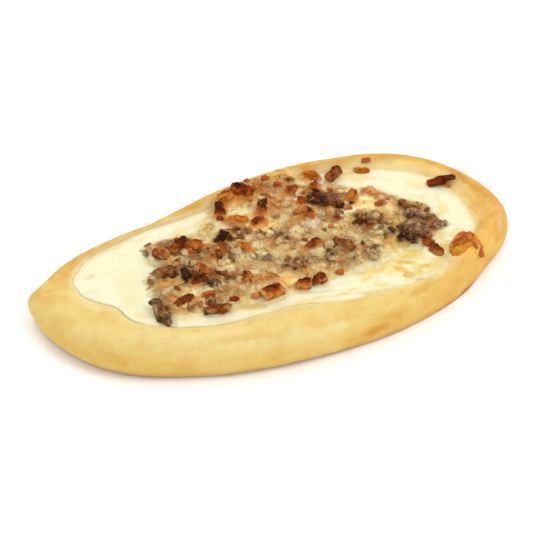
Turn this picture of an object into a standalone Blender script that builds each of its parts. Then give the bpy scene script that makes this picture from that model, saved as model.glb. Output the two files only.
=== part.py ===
"""A garnished fougasse: a boat-shaped flat bread with a raised rim, filled with cream and topped with melted
cheese, chopped mushroom and bacon. Metres, +Z up. The origin is the centre of the footprint, on the table;
+X runs along the bread from its pointed end to its round end."""

import math

import bmesh
import bpy
from mathutils import Matrix, Vector
from mathutils.bvhtree import BVHTree

MM = 0.001

# ---- driving sizes, in millimetres -------------------------------------------------------------------------
LENGTH = 240.0  # pointed end to round end
# Half-widths of the bread's outline, as multiples of the sine of the station angle. The stations are 30 degrees
# apart, from 0 at the pointed end to 180 at the round end; an ellipse would have the same value at each.
EDGE_NEAR = (55.8, 71.3, 67.8, 64.0, 59.0, 47.7, 41.4)
EDGE_FAR = (48.0, 34.8, 37.3, 52.9, 64.7, 72.0, 52.0)
EDGE_TIP_Y = 2.0
# The same for the edge of the hollow, where the cream meets the rim.
HOLLOW_X = (-100.0, 99.7)
HOLLOW_NEAR = (34.0, 50.0, 51.0, 43.1, 54.4, 65.3, 80.0)
HOLLOW_FAR = (24.0, 35.5, 34.0, 43.6, 55.1, 67.0, 85.2)
HOLLOW_TIP_Y = 3.5
# Where that edge comes in over the filling, or goes out: angle round the bread, width in degrees, share of the way.
DENTS = ((209, 11, 0.10), (257, 10, -0.045), (334, 10, 0.075), (357, 14, 0.035), (58, 10, -0.055))

CREST_Z = (18.5, 20.5, 22.5, 23.5, 23.5, 23.0, 22.0)  # top of the rim, at the same stations
CREAM_Z = (16.5, 17.5, 18.5, 19.0, 19.0, 18.5, 18.0)  # where the rim meets the cream
BULGE_Z = 9.0  # height at which the side is widest
FOOT = 0.32  # how far in the foot sits, as a share of the rim's width
CREST = 0.45  # where the crest lies, as a share of the rim's width
FLOOR_Z = 10.5  # top of the dough under the cream
GAP = 0.6  # vertical clearance between the cream and the sloping dough, 0.3 mm square to it

# How far the melted cheese reaches from the middle, as a share of the way to the hollow's edge, at stations 20
# degrees apart from the pointed end to the round end. Past 1 it has run over the rim.
CHEESE_FAR = (0.64, 0.67, 0.82, 0.86, 1.05, 1.08, 0.82, 0.79, 0.80, 0.87)
CHEESE_NEAR = (0.64, 0.71, 0.87, 0.85, 0.81, 0.71, 0.62, 0.60, 0.75, 0.87)
CHEESE_EDGE = 0.9  # thickness at its edge
CHEESE_THICK = 2.6  # thickness in the middle

AROUND = 76  # points round the bread


# ---- curves ------------------------------------------------------------------------------------------------
def along(values, angle):
    """Smooth curve through values at equal steps of angle from 0 to pi, even about both ends."""
    n = len(values) - 1
    t = min(max(angle / math.pi * n, 0.0), n - 1e-9)
    i = int(t)
    f = t - i
    padded = (values[1],) + tuple(values) + (values[-2],)
    a, b, c, d = padded[i : i + 4]
    return 0.5 * (2 * b + (c - a) * f + (2 * a - 5 * b + 4 * c - d) * f * f + (3 * b - a - 3 * c + d) * f**3)


def fold(angle):
    """Angle round the bread, 0 to 2 pi, as the station angle 0 to pi, and the side: +1 far, -1 near."""
    return (angle, 1.0) if angle <= math.pi else (2 * math.pi - angle, -1.0)


def outline(angle, x_range, near, far, tip_y):
    a, side = fold(angle)
    half = along(far if side > 0 else near, a)
    x = 0.5 * (x_range[0] + x_range[1]) - 0.5 * (x_range[1] - x_range[0]) * math.cos(a)
    return Vector((x, tip_y * ((1 + math.cos(a)) / 2) ** 3 + side * half * math.sin(a)))


ANGLES = [2 * math.pi * k / AROUND for k in range(AROUND)]


def raw_edge(angle):
    return outline(angle, (-LENGTH / 2, LENGTH / 2), EDGE_NEAR, EDGE_FAR, EDGE_TIP_Y)


RAW_Y = [raw_edge(a).y for a in ANGLES]
SHIFT = Vector((0.0, -0.5 * (min(RAW_Y) + max(RAW_Y))))  # centres the footprint on the origin


def edge(angle):
    return raw_edge(angle) + SHIFT


def hollow(angle):
    a = math.degrees(angle)
    dent = sum(share * math.exp(-((((a - at + 180) % 360 - 180) / wide) ** 2)) for at, wide, share in DENTS)
    return outline(angle, HOLLOW_X, HOLLOW_NEAR, HOLLOW_FAR, HOLLOW_TIP_Y) * (1 - dent) + SHIFT


MIDDLE = sum((hollow(a) for a in ANGLES), Vector((0, 0))) / AROUND


def crest_z(angle):
    return along(CREST_Z, fold(angle)[0])


def cream_z(angle):
    return along(CREAM_Z, fold(angle)[0])


def rim_point(angle, across, z):
    """A point on the rim: across 0 is the widest edge and 1 the edge of the hollow."""
    p = edge(angle).lerp(hollow(angle), across)
    return Vector((p.x, p.y, z)) * MM


def hollow_point(angle, reach, z):
    """A point inside the hollow: reach 0 is the middle and 1 the hollow's edge."""
    p = MIDDLE.lerp(hollow(angle), reach)
    return Vector((p.x, p.y, z)) * MM


# ---- mesh helpers ------------------------------------------------------------------------------------------
def material(name, colour, roughness):
    m = bpy.data.materials.new(name)
    m.use_nodes = True
    shader = m.node_tree.nodes["Principled BSDF"]
    shader.inputs["Base Color"].default_value = (*colour, 1.0)
    shader.inputs["Roughness"].default_value = roughness
    shader.inputs["Metallic"].default_value = 0.0
    return m


def new_object(name, bm, mat, parent):
    bmesh.ops.recalc_face_normals(bm, faces=bm.faces)
    bmesh.ops.triangulate(bm, faces=bm.faces)
    mesh = bpy.data.meshes.new(name)
    bm.to_mesh(mesh)
    bm.free()
    mesh.materials.append(mat)
    mesh.shade_smooth()
    obj = bpy.data.objects.new(name, mesh)
    bpy.context.scene.collection.objects.link(obj)
    obj.parent = parent
    return obj


def skin(first, rings, last):
    """A closed mesh through rings of points, each end closed by a fan to one point."""
    bm = bmesh.new()
    rows = [[bm.verts.new(p) for p in ring] for ring in rings]
    n = len(rows[0])
    ends = [(bm.verts.new(first), rows[0]), (bm.verts.new(last), rows[-1])]
    for centre, row in ends:
        for k in range(n):
            bm.faces.new((centre, row[k], row[(k + 1) % n]))
    for low, high in zip(rows, rows[1:]):
        for k in range(n):
            j = (k + 1) % n
            bm.faces.new((low[k], low[j], high[j], high[k]))
    return bm


# ---- the bread ---------------------------------------------------------------------------------------------
def foot_share(angle):
    """How far in the foot sits. At the round end's near side a lip of dough has spread out along the table."""
    a = math.degrees(angle)
    return FOOT - 0.26 * math.exp(-(((a - 226) / 8) ** 2))


def rim_rings():
    quarter = math.pi / 2
    rings = []
    for t in (0.0, 0.35, 0.7):  # from the foot out to the bulge
        tau = (1 - t) * quarter
        rings.append([rim_point(a, foot_share(a) * (1 - math.cos(tau)), BULGE_Z * (1 - math.sin(tau))) for a in ANGLES])
    for t in (0.0, 0.25, 0.5, 0.75, 1.0):  # from the bulge over to the crest
        tau = t * quarter
        rings.append(
            [
                rim_point(a, CREST * (1 - math.cos(tau)), BULGE_Z + (crest_z(a) - BULGE_Z) * math.sin(tau))
                for a in ANGLES
            ]
        )
    for b in (0.4, 0.75, 1.0):  # from the crest down to the cream
        rings.append(
            [rim_point(a, CREST + (1 - CREST) * b, crest_z(a) - (crest_z(a) - cream_z(a)) * b**2.2) for a in ANGLES]
        )
    return rings


# The dough's wall and floor under the cream: reach from the middle, and share of the drop from rim to floor.
WALL = ((0.975, 0.10), (0.93, 0.42), (0.86, 0.76), (0.70, 0.98), (0.35, 1.0))


def wall_z(angle, drop):
    return cream_z(angle) - (cream_z(angle) - FLOOR_Z) * drop


def build_bread(mat, parent):
    rings = rim_rings()
    rings += [[hollow_point(a, reach, wall_z(a, drop)) for a in ANGLES] for reach, drop in WALL]
    middle = Vector((MIDDLE.x, MIDDLE.y, 0)) * MM
    return new_object("bread", skin(middle, rings, middle + Vector((0, 0, FLOOR_Z * MM))), mat, parent)


# ---- the cream ---------------------------------------------------------------------------------------------
CREAM_TOP = ((0.975, 0.25), (0.93, 0.75), (0.80, 1.0), (0.60, 1.2), (0.30, 1.4))  # reach, height over cream_z


def cream_top_z(angle, reach, rise):
    """The cream lies almost level, with slow waves where it was spread."""
    a, side = fold(angle)
    wave = 0.35 * math.sin(3.0 * angle + 0.6) * math.sin(math.pi * min(1.0, reach))
    level = cream_z(angle) * reach + 18.6 * (1 - reach)
    return level + rise + wave


def build_cream(mat, parent):
    bottom = [[hollow_point(a, reach, wall_z(a, drop) + GAP) for a in ANGLES] for reach, drop in reversed(WALL)]
    top = [[hollow_point(a, reach, cream_top_z(a, reach, rise)) for a in ANGLES] for reach, rise in CREAM_TOP]
    middle = Vector((MIDDLE.x, MIDDLE.y, 0)) * MM
    first = middle + Vector((0, 0, (FLOOR_Z + GAP) * MM))
    last = middle + Vector((0, 0, 20.0 * MM))
    return new_object("cream", skin(first, bottom + top, last), mat, parent)


# ---- what lies on top --------------------------------------------------------------------------------------
class Support:
    """The upper surface of everything placed so far, for resting the next piece on it."""

    def __init__(self):
        self.trees = []

    def add(self, obj):
        bm = bmesh.new()
        bm.from_mesh(obj.data)
        bm.transform(obj.matrix_world)
        self.trees.append(BVHTree.FromBMesh(bm))
        bm.free()

    def height(self, x, y):
        best = 0.0
        for tree in self.trees:
            hit = tree.ray_cast(Vector((x, y, 0.1)), Vector((0, 0, -1)))[0]
            if hit is not None:
                best = max(best, hit.z)
        return best

    def highest_near(self, x, y, radius):
        """The highest point within radius, so that a flat facet laid over a curved one clears it."""
        found = self.height(x, y)
        for k in range(8):
            for r in (0.5 * radius, radius):
                t = math.pi * k / 4
                found = max(found, self.height(x + r * math.cos(t), y + r * math.sin(t)))
        return found


CHEESE_AROUND = 64
CHEESE_RINGS = (1.0, 0.96, 0.88, 0.78, 0.66, 0.52, 0.36, 0.18)


def cheese_reach(angle):
    a, side = fold(angle)
    ragged = 0.025 * math.sin(5 * angle + 0.4) + 0.02 * math.sin(9 * angle + 1.9)
    return along(CHEESE_FAR if side > 0 else CHEESE_NEAR, a) + ragged


def build_cheese(mat, parent, support):
    """The melted cheese and chopped mushroom: one uneven layer that lies on the cream and laps onto the far rim."""
    angles = [2 * math.pi * k / CHEESE_AROUND for k in range(CHEESE_AROUND)]
    low, high = [], []
    for share in CHEESE_RINGS:
        under, over = [], []
        for a in angles:
            p = MIDDLE.lerp(hollow(a), cheese_reach(a) * share) * MM
            z = support.highest_near(p.x, p.y, 0.0025) + 0.00035
            grow = min(1.0, (1 - share) / 0.3)
            thick = CHEESE_EDGE + (CHEESE_THICK - CHEESE_EDGE) * math.sin(grow * math.pi / 2)
            lump = 0.5 * grow * math.sin(170 * p.x + 1.3) * math.cos(150 * p.y + 0.4)
            under.append(Vector((p.x, p.y, z)))
            over.append(Vector((p.x, p.y, z + (thick + lump) * MM)))
        low.append(under)
        high.append(over)
    m = MIDDLE * MM
    z = support.highest_near(m.x, m.y, 0.0025) + 0.00035
    bm = skin(Vector((m.x, m.y, z)), list(reversed(low)) + high, Vector((m.x, m.y, z + CHEESE_THICK * MM)))
    return new_object("melted_cheese", bm, mat, parent)


def build_chunk(name, length, width, height, mat, parent, bend=0.0, taper=0.0, square=0.6, parts=(3, 2, 2)):
    """A bacon dice or a slice of mushroom, centred on its own origin: a block with rounded edges, its middle line
    bent through bend degrees and one end narrower by taper. square 1 is a box and 0 an egg."""
    nx, ny, nz = parts
    bm = bmesh.new()
    grid = {}

    def vertex(i, j, k):
        key = (i, j, k)
        if key not in grid:
            c = Vector((2 * i / nx - 1, 2 * j / ny - 1, 2 * k / nz - 1))
            ball = c.normalized()
            p = ball.lerp(c, square)
            slim = 1 - taper * (0.5 + 0.5 * p.x)
            x, y, z = 0.5 * length * p.x, 0.5 * width * p.y * slim, 0.5 * height * p.z * (0.6 + 0.4 * slim)
            if abs(bend) > 1:
                radius = length / math.radians(bend)
                turn = x / radius
                x, y = (radius - y) * math.sin(turn), radius - (radius - y) * math.cos(turn)
                y -= radius * (1 - math.cos(math.radians(bend) / 2)) / 2
            grid[key] = bm.verts.new(Vector((x, y, z)) * MM)
        return grid[key]

    for u, v, w, nu, nv, nw in ((0, 1, 2, nx, ny, nz), (1, 2, 0, ny, nz, nx), (2, 0, 1, nz, nx, ny)):
        for end in (0, nw):
            for i in range(nu):
                for j in range(nv):
                    corners = []
                    for di, dj in ((0, 0), (1, 0), (1, 1), (0, 1)):
                        key = [0, 0, 0]
                        key[u], key[v], key[w] = i + di, j + dj, end
                        corners.append(vertex(*key))
                    bm.faces.new(corners)
    return new_object(name, bm, mat, parent)


def rest(obj, x, y, yaw, support, clearance=0.0004):
    """Lays a piece on what is under it: tilted with the slope, then raised until it just clears."""
    x, y = x * MM, y * MM
    size = max(obj.dimensions.x, obj.dimensions.y) / 2
    d = 0.6 * size
    slope_x = (support.height(x + d, y) - support.height(x - d, y)) / (2 * d)
    slope_y = (support.height(x, y + d) - support.height(x, y - d)) / (2 * d)
    up = Vector((-slope_x, -slope_y, 1)).normalized()
    tilt = Vector((0, 0, 1)).rotation_difference(up)
    obj.matrix_world = (
        Matrix.Translation((x, y, 0)) @ tilt.to_matrix().to_4x4() @ Matrix.Rotation(math.radians(yaw), 4, "Z")
    )
    bpy.context.view_layer.update()
    points = [obj.matrix_world @ v.co for v in obj.data.vertices]
    for polygon in obj.data.polygons:
        points.append(obj.matrix_world @ polygon.center)
    for e in obj.data.edges:
        a, b = (obj.matrix_world @ obj.data.vertices[i].co for i in e.vertices)
        points.append((a + b) / 2)
    lift = max(support.highest_near(p.x, p.y, 0.0003) - p.z for p in points) + clearance
    obj.matrix_world = Matrix.Translation((0, 0, lift)) @ obj.matrix_world
    bpy.context.view_layer.update()
    support.add(obj)


# Bacon dice: x, y, yaw in degrees, length, width, height, bend in degrees, taper. A piece is laid down on what is
# already under it, so its height follows from where it lies.
BACON = (
    (-54.5, 10.0, -10, 7.0, 5.5, 5.0, 0, 0),
    (-53.0, -25.5, 5, 10.0, 5.5, 4.5, 0, 0.2),
    (-44.0, 14.0, 5, 8.0, 5.0, 4.5, 0, 0),
    (-42.5, -13.0, 10, 7.0, 4.0, 3.5, 0, 0.1),
    (-39.5, -34.0, 0, 11.0, 4.5, 3.0, 0, 0.3),
    (-38.0, -6.5, -65, 7.5, 3.5, 2.5, 0, 0),
    (-36.5, 11.5, -30, 5.5, 4.0, 3.5, 0, 0),
    (-27.5, 4.0, 40, 10.0, 5.0, 4.0, 0, 0.15),
    (-21.5, -19.0, 35, 6.5, 4.5, 3.5, 0, 0),
    (-17.5, 34.5, -110, 9.5, 4.5, 3.5, 0, 0),
    (-15.5, -21.5, -20, 5.0, 3.5, 3.0, 0, 0),
    (-15.5, 3.5, -55, 7.0, 3.5, 3.0, -30, 0),
    (-13.0, 41.5, -5, 8.0, 4.5, 3.5, 0, 0),
    (-12.0, -32.0, 10, 11.5, 5.5, 4.0, 0, 0.1),
    (-12.0, 24.0, -5, 7.5, 4.0, 2.5, -60, 0),
    (-9.5, -23.0, -30, 5.5, 4.0, 3.5, 0, 0),
    (-3.5, 43.0, -60, 10.0, 6.0, 5.0, 0, 0.15),
    (-3.0, 20.0, 20, 6.0, 4.5, 3.0, -60, 0),
    (2.0, 28.5, 60, 9.5, 4.5, 3.5, 0, 0),
    (3.5, -30.0, 0, 7.0, 4.5, 3.5, 0, 0),
    (11.5, -29.0, 10, 7.5, 4.5, 3.5, 0, 0),
    (16.5, -6.0, 20, 10.0, 4.0, 3.5, 0, 0),
    (20.0, 37.0, -5, 6.0, 4.5, 3.5, 0, 0),
    (21.5, 17.0, -90, 9.0, 4.5, 3.5, 0, 0),
    (22.0, 27.0, 20, 5.5, 4.0, 3.5, 0, 0),
    (31.5, 37.5, 35, 6.0, 3.5, 3.0, 0, 0),
    (34.5, 48.5, -10, 8.0, 6.0, 3.5, 0, 0),
    (46.0, 23.0, 50, 7.0, 5.0, 4.5, 0, 0),
    (45.0, 45.0, 35, 11.0, 5.0, 4.0, 0, 0),
    (57.0, 24.5, -55, 7.5, 4.0, 3.0, 0, 0),
    (60.5, 47.0, -10, 6.5, 3.5, 3.0, 0, 0),
    (70.5, -17.5, -75, 5.0, 4.5, 4.0, 0, 0),
    (72.5, -24.0, -60, 6.5, 4.0, 3.5, 0, 0),
    (85.5, -24.0, -10, 10.0, 5.0, 3.5, -60, 0),
    (94.0, 25.5, 10, 15.0, 5.0, 3.0, 0, 0.1),
)
# Mushroom slices, caps and stems: the same columns.
MUSHROOM = (
    (-64.0, -28.0, -75, 18.0, 5.0, 3.0, 75, 0.1),
    (-57.0, -2.0, 0, 12.5, 5.0, 2.5, -25, 0),
    (-47.5, -7.5, -100, 10.0, 4.0, 2.5, 0, 0.2),
    (-36.0, -17.0, -80, 7.5, 4.0, 2.5, 0, 0),
    (-23.0, 13.0, 50, 7.0, 5.0, 3.0, 0, 0.2),
    (5.5, -17.0, 0, 17.0, 6.0, 3.0, 0, 0.3),
    (25.5, -21.5, -35, 15.5, 4.5, 2.0, -30, 0.2),
    (30.5, -11.0, -55, 13.0, 6.0, 3.0, 0, 0.2),
    (30.5, 24.5, -50, 10.0, 5.0, 3.0, 0, 0),
    (38.0, 19.5, -80, 7.0, 5.5, 3.5, 0, 0),
    (40.5, -19.0, -75, 10.5, 5.0, 2.0, -80, 0),
    (45.0, 5.0, 30, 7.0, 5.0, 3.0, 0, 0),
    (62.0, -14.5, -35, 11.0, 5.0, 3.5, 0, 0.2),
    (67.5, -8.5, -30, 14.0, 8.0, 3.5, 0, 0.2),
    (68.0, 10.0, -70, 5.5, 4.5, 3.0, 0, 0),
    (73.5, 0.5, -30, 14.5, 6.5, 3.5, 0, 0.1),
    (80.5, -7.0, 15, 10.0, 3.5, 2.0, 0, 0),
)


def main():
    for old in list(bpy.data.objects):
        bpy.data.objects.remove(old, do_unlink=True)
    crust = material("crust", (0.79, 0.50, 0.16), 0.55)
    cream = material("cream", (0.92, 0.84, 0.56), 0.35)
    cheese = material("melted_cheese", (0.72, 0.58, 0.28), 0.35)
    bacon = material("bacon", (0.46, 0.13, 0.03), 0.4)
    mushroom = material("mushroom", (0.16, 0.10, 0.055), 0.5)
    root = bpy.data.objects.new("fougasse", None)
    bpy.context.scene.collection.objects.link(root)
    support = Support()
    for obj in (build_bread(crust, root), build_cream(cream, root)):
        bpy.context.view_layer.update()
        support.add(obj)
    support.add(build_cheese(cheese, root, support))
    for kind, rows, mat in (("bacon", BACON, bacon), ("mushroom", MUSHROOM, mushroom)):
        for n, (x, y, yaw, length, width, height, bend, taper) in enumerate(rows, 1):
            parts = (4 if length > 9 else 3, 2, 2) if abs(bend) < 40 else (6, 2, 2)
            square = 0.72 if kind == "bacon" else 0.45
            obj = build_chunk(
                f"{kind}_{n:02d}", length, width, height, mat, root, bend=bend, taper=taper, square=square, parts=parts
            )
            rest(obj, x, y, yaw, support)


main()
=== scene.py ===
"""Looks for a garnished fougasse: a boat-shaped bread with a cream filling, melted cheese, mushroom and bacon.
Lengths below are millimetres unless a name says otherwise; meshes are written in metres."""

import math

import bpy
import numpy as np
from mathutils import Matrix, Vector
from mathutils.bvhtree import BVHTree


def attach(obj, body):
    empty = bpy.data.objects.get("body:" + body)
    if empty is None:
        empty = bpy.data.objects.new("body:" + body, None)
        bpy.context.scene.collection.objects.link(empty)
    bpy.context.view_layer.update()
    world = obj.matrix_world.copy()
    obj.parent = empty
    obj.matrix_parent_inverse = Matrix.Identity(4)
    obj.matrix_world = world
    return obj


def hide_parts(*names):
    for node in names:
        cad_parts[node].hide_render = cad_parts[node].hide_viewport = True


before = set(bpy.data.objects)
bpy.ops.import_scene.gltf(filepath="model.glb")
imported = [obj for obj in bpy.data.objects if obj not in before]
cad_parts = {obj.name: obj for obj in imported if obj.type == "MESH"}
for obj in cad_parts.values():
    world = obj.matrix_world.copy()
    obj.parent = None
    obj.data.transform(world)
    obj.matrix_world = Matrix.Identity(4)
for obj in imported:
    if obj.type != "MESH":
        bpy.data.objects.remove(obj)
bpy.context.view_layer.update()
MM = 0.001


# ---- camera: the view that the outline was fitted to --------------------------------------------------------
AZIMUTH, ELEVATION, DISTANCE, FOCAL_PX = -18.07, 40.0, 1000.0, 2086.4
AIM = np.array([-3.75, -1.13, 10.0])
_a, _e = math.radians(AZIMUTH), math.radians(ELEVATION)
BACK = np.array([math.sin(_a) * math.cos(_e), -math.cos(_a) * math.cos(_e), math.sin(_e)])
RIGHT = np.array([math.cos(_a), math.sin(_a), 0.0])
UP = np.cross(BACK, RIGHT)
EYE = AIM + BACK * DISTANCE


def build_camera():
    data = bpy.data.cameras.new("camera")
    data.sensor_width = 36.0
    data.sensor_fit = "HORIZONTAL"
    data.lens = FOCAL_PX / 540.0 * 36.0
    data.clip_start, data.clip_end = 0.05, 20.0
    cam = bpy.data.objects.new("camera", data)
    bpy.context.scene.collection.objects.link(cam)
    m = Matrix((RIGHT, UP, BACK)).transposed().to_4x4()
    m.translation = Vector(EYE * MM)
    cam.matrix_world = m
    bpy.context.scene.camera = cam


def view_ray(px, py):
    d = -BACK * FOCAL_PX + RIGHT * (px - 270.0) + UP * (270.0 - py)
    return d / np.linalg.norm(d)


# ---- noise -------------------------------------------------------------------------------------------------
def _hash(ix, iy, iz, seed):
    h = (ix.astype(np.int64) * 374761393 + iy.astype(np.int64) * 668265263 + iz.astype(np.int64) * 1440662683) & 0xFFFFFFFF
    h = (h + seed * 974711) & 0xFFFFFFFF
    h = ((h ^ (h >> 15)) * 739982445) & 0xFFFFFFFF
    h = ((h ^ (h >> 12)) * 695872825) & 0xFFFFFFFF
    h = h ^ (h >> 15)
    return h.astype(np.float64) / 4294967295.0


def noise(p, size, seed=0):
    """Smooth noise, about -1 to 1, with features of that size. p is (n, 2) or (n, 3)."""
    q = np.asarray(p, float) / size
    if q.shape[1] == 2:
        q = np.column_stack([q, np.full(len(q), 0.37)])
    i = np.floor(q).astype(np.int64)
    f = q - i
    w = f * f * f * (f * (f * 6 - 15) + 10)
    out = np.zeros(len(q))
    for dx in (0, 1):
        for dy in (0, 1):
            for dz in (0, 1):
                h = _hash(i[:, 0] + dx, i[:, 1] + dy, i[:, 2] + dz, seed)
                out += (
                    h
                    * (w[:, 0] if dx else 1 - w[:, 0])
                    * (w[:, 1] if dy else 1 - w[:, 1])
                    * (w[:, 2] if dz else 1 - w[:, 2])
                )
    return (out * 2 - 1) * 1.25


def fbm(p, size, octaves=4, seed=0, gain=0.5):
    total, amp, norm = np.zeros(len(p)), 1.0, 0.0
    for o in range(octaves):
        total += amp * noise(p, size / 2**o, seed + 17 * o)
        norm += amp
        amp *= gain
    return total / norm


def cells(p, size, seed=0, jitter=0.9):
    """Distance to the nearest and second nearest scattered point, in cells, and the nearest one's own random number."""
    q = np.asarray(p, float)[:, :2] / size
    i = np.floor(q).astype(np.int64)
    best, second, ident = np.full(len(q), 9.0), np.full(len(q), 9.0), np.zeros(len(q))
    zero = np.zeros(len(q), np.int64)
    for dx in (-1, 0, 1):
        for dy in (-1, 0, 1):
            cx, cy = i[:, 0] + dx, i[:, 1] + dy
            jx, jy = _hash(cx, cy, zero, seed), _hash(cx, cy, zero, seed + 1)
            d = np.hypot(cx + 0.5 + jitter * (jx - 0.5) - q[:, 0], cy + 0.5 + jitter * (jy - 0.5) - q[:, 1])
            r = _hash(cx, cy, zero, seed + 2)
            closer = d < best
            second = np.where(closer, best, np.minimum(second, d))
            ident = np.where(closer, r, ident)
            best = np.where(closer, d, best)
    return best, second, ident


def step(x, low, high):
    t = np.clip((np.asarray(x, float) - low) / (high - low), 0.0, 1.0)
    return t * t * (3 - 2 * t)


def mix(a, b, t):
    t = np.asarray(t, float)
    if np.ndim(a) == 1 and np.ndim(t) == 1:
        a = np.broadcast_to(a, (len(t), 3))
    if np.ndim(t) == 1:
        t = t[:, None]
    return np.asarray(a) * (1 - t) + np.asarray(b) * t


LIT = 1.34  # how brightly the studio lights an upward surface, next to a white that just clips


def rgb(r, g, b):
    """The paint that shows on a screen as this colour, 0 to 255, under the studio's light."""
    c = np.array([r, g, b], float) / 255.0
    return np.where(c <= 0.04045, c / 12.92, ((c + 0.055) / 1.055) ** 2.4) / LIT


# ---- the bread's curves, the same as the CAD solids' --------------------------------------------------------
LENGTH = 240.0
EDGE_NEAR = (55.8, 71.3, 67.8, 64.0, 59.0, 47.7, 41.4)
EDGE_FAR = (48.0, 34.8, 37.3, 52.9, 64.7, 72.0, 52.0)
HOLLOW_NEAR = (34.0, 50.0, 51.0, 43.1, 54.4, 65.3, 80.0)
HOLLOW_FAR = (24.0, 35.5, 34.0, 43.6, 55.1, 67.0, 85.2)
CREST_Z = (18.5, 20.5, 22.5, 23.5, 23.5, 23.0, 22.0)
CREAM_Z = (16.5, 17.5, 18.5, 19.0, 19.0, 18.5, 18.0)
BULGE_Z, FOOT, CREST, FLOOR_Z = 9.0, 0.32, 0.45, 10.5


def along(values, angle):
    v = np.array(values, float)
    n = len(v) - 1
    t = np.clip(np.asarray(angle, float) / np.pi * n, 0, n - 1e-9)
    i = np.floor(t).astype(int)
    f = t - i
    e = np.concatenate([[v[1]], v, [v[-2]]])
    a, b, c, d = e[i], e[i + 1], e[i + 2], e[i + 3]
    return 0.5 * (2 * b + (c - a) * f + (2 * a - 5 * b + 4 * c - d) * f**2 + (3 * b - a - 3 * c + d) * f**3)


def fold(angle):
    angle = np.mod(angle, 2 * np.pi)
    return np.where(angle <= np.pi, angle, 2 * np.pi - angle), np.where(angle <= np.pi, 1.0, -1.0)


def outline(angle, x_range, near, far, tip_y):
    a, side = fold(angle)
    half = np.where(side > 0, along(far, a), along(near, a))
    x = 0.5 * (x_range[0] + x_range[1]) - 0.5 * (x_range[1] - x_range[0]) * np.cos(a)
    return np.column_stack([x, tip_y * ((1 + np.cos(a)) / 2) ** 3 + side * half * np.sin(a)])


_k76 = 2 * np.pi * np.arange(76) / 76
_raw = outline(_k76, (-LENGTH / 2, LENGTH / 2), EDGE_NEAR, EDGE_FAR, 2.0)
SHIFT = np.array([0.0, -0.5 * (_raw[:, 1].min() + _raw[:, 1].max())])


def bump(angle_deg, centre, width):
    d = (angle_deg - centre + 180.0) % 360.0 - 180.0
    return np.exp(-((d / width) ** 2))


def edge(angle):
    return outline(angle, (-LENGTH / 2, LENGTH / 2), EDGE_NEAR, EDGE_FAR, 2.0) + SHIFT


# Where the hollow's edge comes in over the filling, or goes out: angle, width in degrees, share of the way.
DENTS = ((209, 11, 0.10), (257, 10, -0.045), (334, 10, 0.075), (357, 14, 0.035), (58, 10, -0.055))


def hollow(angle):
    d = np.degrees(np.mod(angle, 2 * np.pi))
    dent = sum(share * bump(d, at, wide) for at, wide, share in DENTS)
    return outline(angle, (-100.0, 99.7), HOLLOW_NEAR, HOLLOW_FAR, 3.5) * (1 - dent)[:, None] + SHIFT


MIDDLE = hollow(_k76).mean(0)


def crest_z(angle):
    a, side = fold(angle)
    d = np.degrees(np.mod(angle, 2 * np.pi))
    return along(CREST_Z, a) - 1.6 * bump(d, 63, 9)


def cream_z(angle):
    return along(CREAM_Z, fold(angle)[0])


# ---- meshes ------------------------------------------------------------------------------------------------
def make_object(name, verts_mm, faces, colour=None, extra=None, smooth=True):
    mesh = bpy.data.meshes.new(name)
    v = np.asarray(verts_mm, np.float32) * np.float32(MM)
    faces = np.asarray(faces, np.int32)
    mesh.vertices.add(len(v))
    mesh.vertices.foreach_set("co", v.ravel())
    k = faces.shape[1]
    mesh.loops.add(faces.size)
    mesh.loops.foreach_set("vertex_index", faces.ravel())
    mesh.polygons.add(len(faces))
    mesh.polygons.foreach_set("loop_start", np.arange(0, faces.size, k, dtype=np.int32))
    mesh.polygons.foreach_set("loop_total", np.full(len(faces), k, np.int32))
    mesh.update(calc_edges=True)
    mesh.validate()
    if smooth:
        mesh.polygons.foreach_set("use_smooth", np.ones(len(mesh.polygons), bool))
    if colour is not None:
        layer = mesh.color_attributes.new("paint", "FLOAT_COLOR", "POINT")
        rgba = np.ones((len(v), 4), np.float32)
        rgba[:, :3] = np.clip(colour, 0, 1)
        layer.data.foreach_set("color", rgba.ravel())
    for key, values in (extra or {}).items():
        attr = mesh.attributes.new(key, "FLOAT", "POINT")
        attr.data.foreach_set("value", np.asarray(values, np.float32))
    obj = bpy.data.objects.new(name, mesh)
    bpy.context.scene.collection.objects.link(obj)
    return obj


def ring_faces(rows, n, close_first=None, close_last=None):
    """Quads between successive rings of n points each."""
    r = np.arange(rows - 1)[:, None] * n
    k = np.arange(n)[None, :]
    j = (k + 1) % n
    return np.stack([r + k, r + j, r + n + j, r + n + k], -1).reshape(-1, 4)


def fan(centre, row_start, n, flip=False):
    """Quads that close a ring onto its centre: two ring segments to a quad, so n is even."""
    k = np.arange(0, n, 2)
    a, b, c = row_start + k, row_start + (k + 1) % n, row_start + (k + 2) % n
    f = np.stack([np.full_like(a, centre), a, b, c], -1)
    return f[:, ::-1] if flip else f


def tree_of(obj):
    v = np.zeros(len(obj.data.vertices) * 3, np.float32)
    obj.data.vertices.foreach_get("co", v)
    return BVHTree.FromPolygons(
        [tuple(c) for c in v.reshape(-1, 3).tolist()], [tuple(p.vertices) for p in obj.data.polygons]
    )


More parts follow.
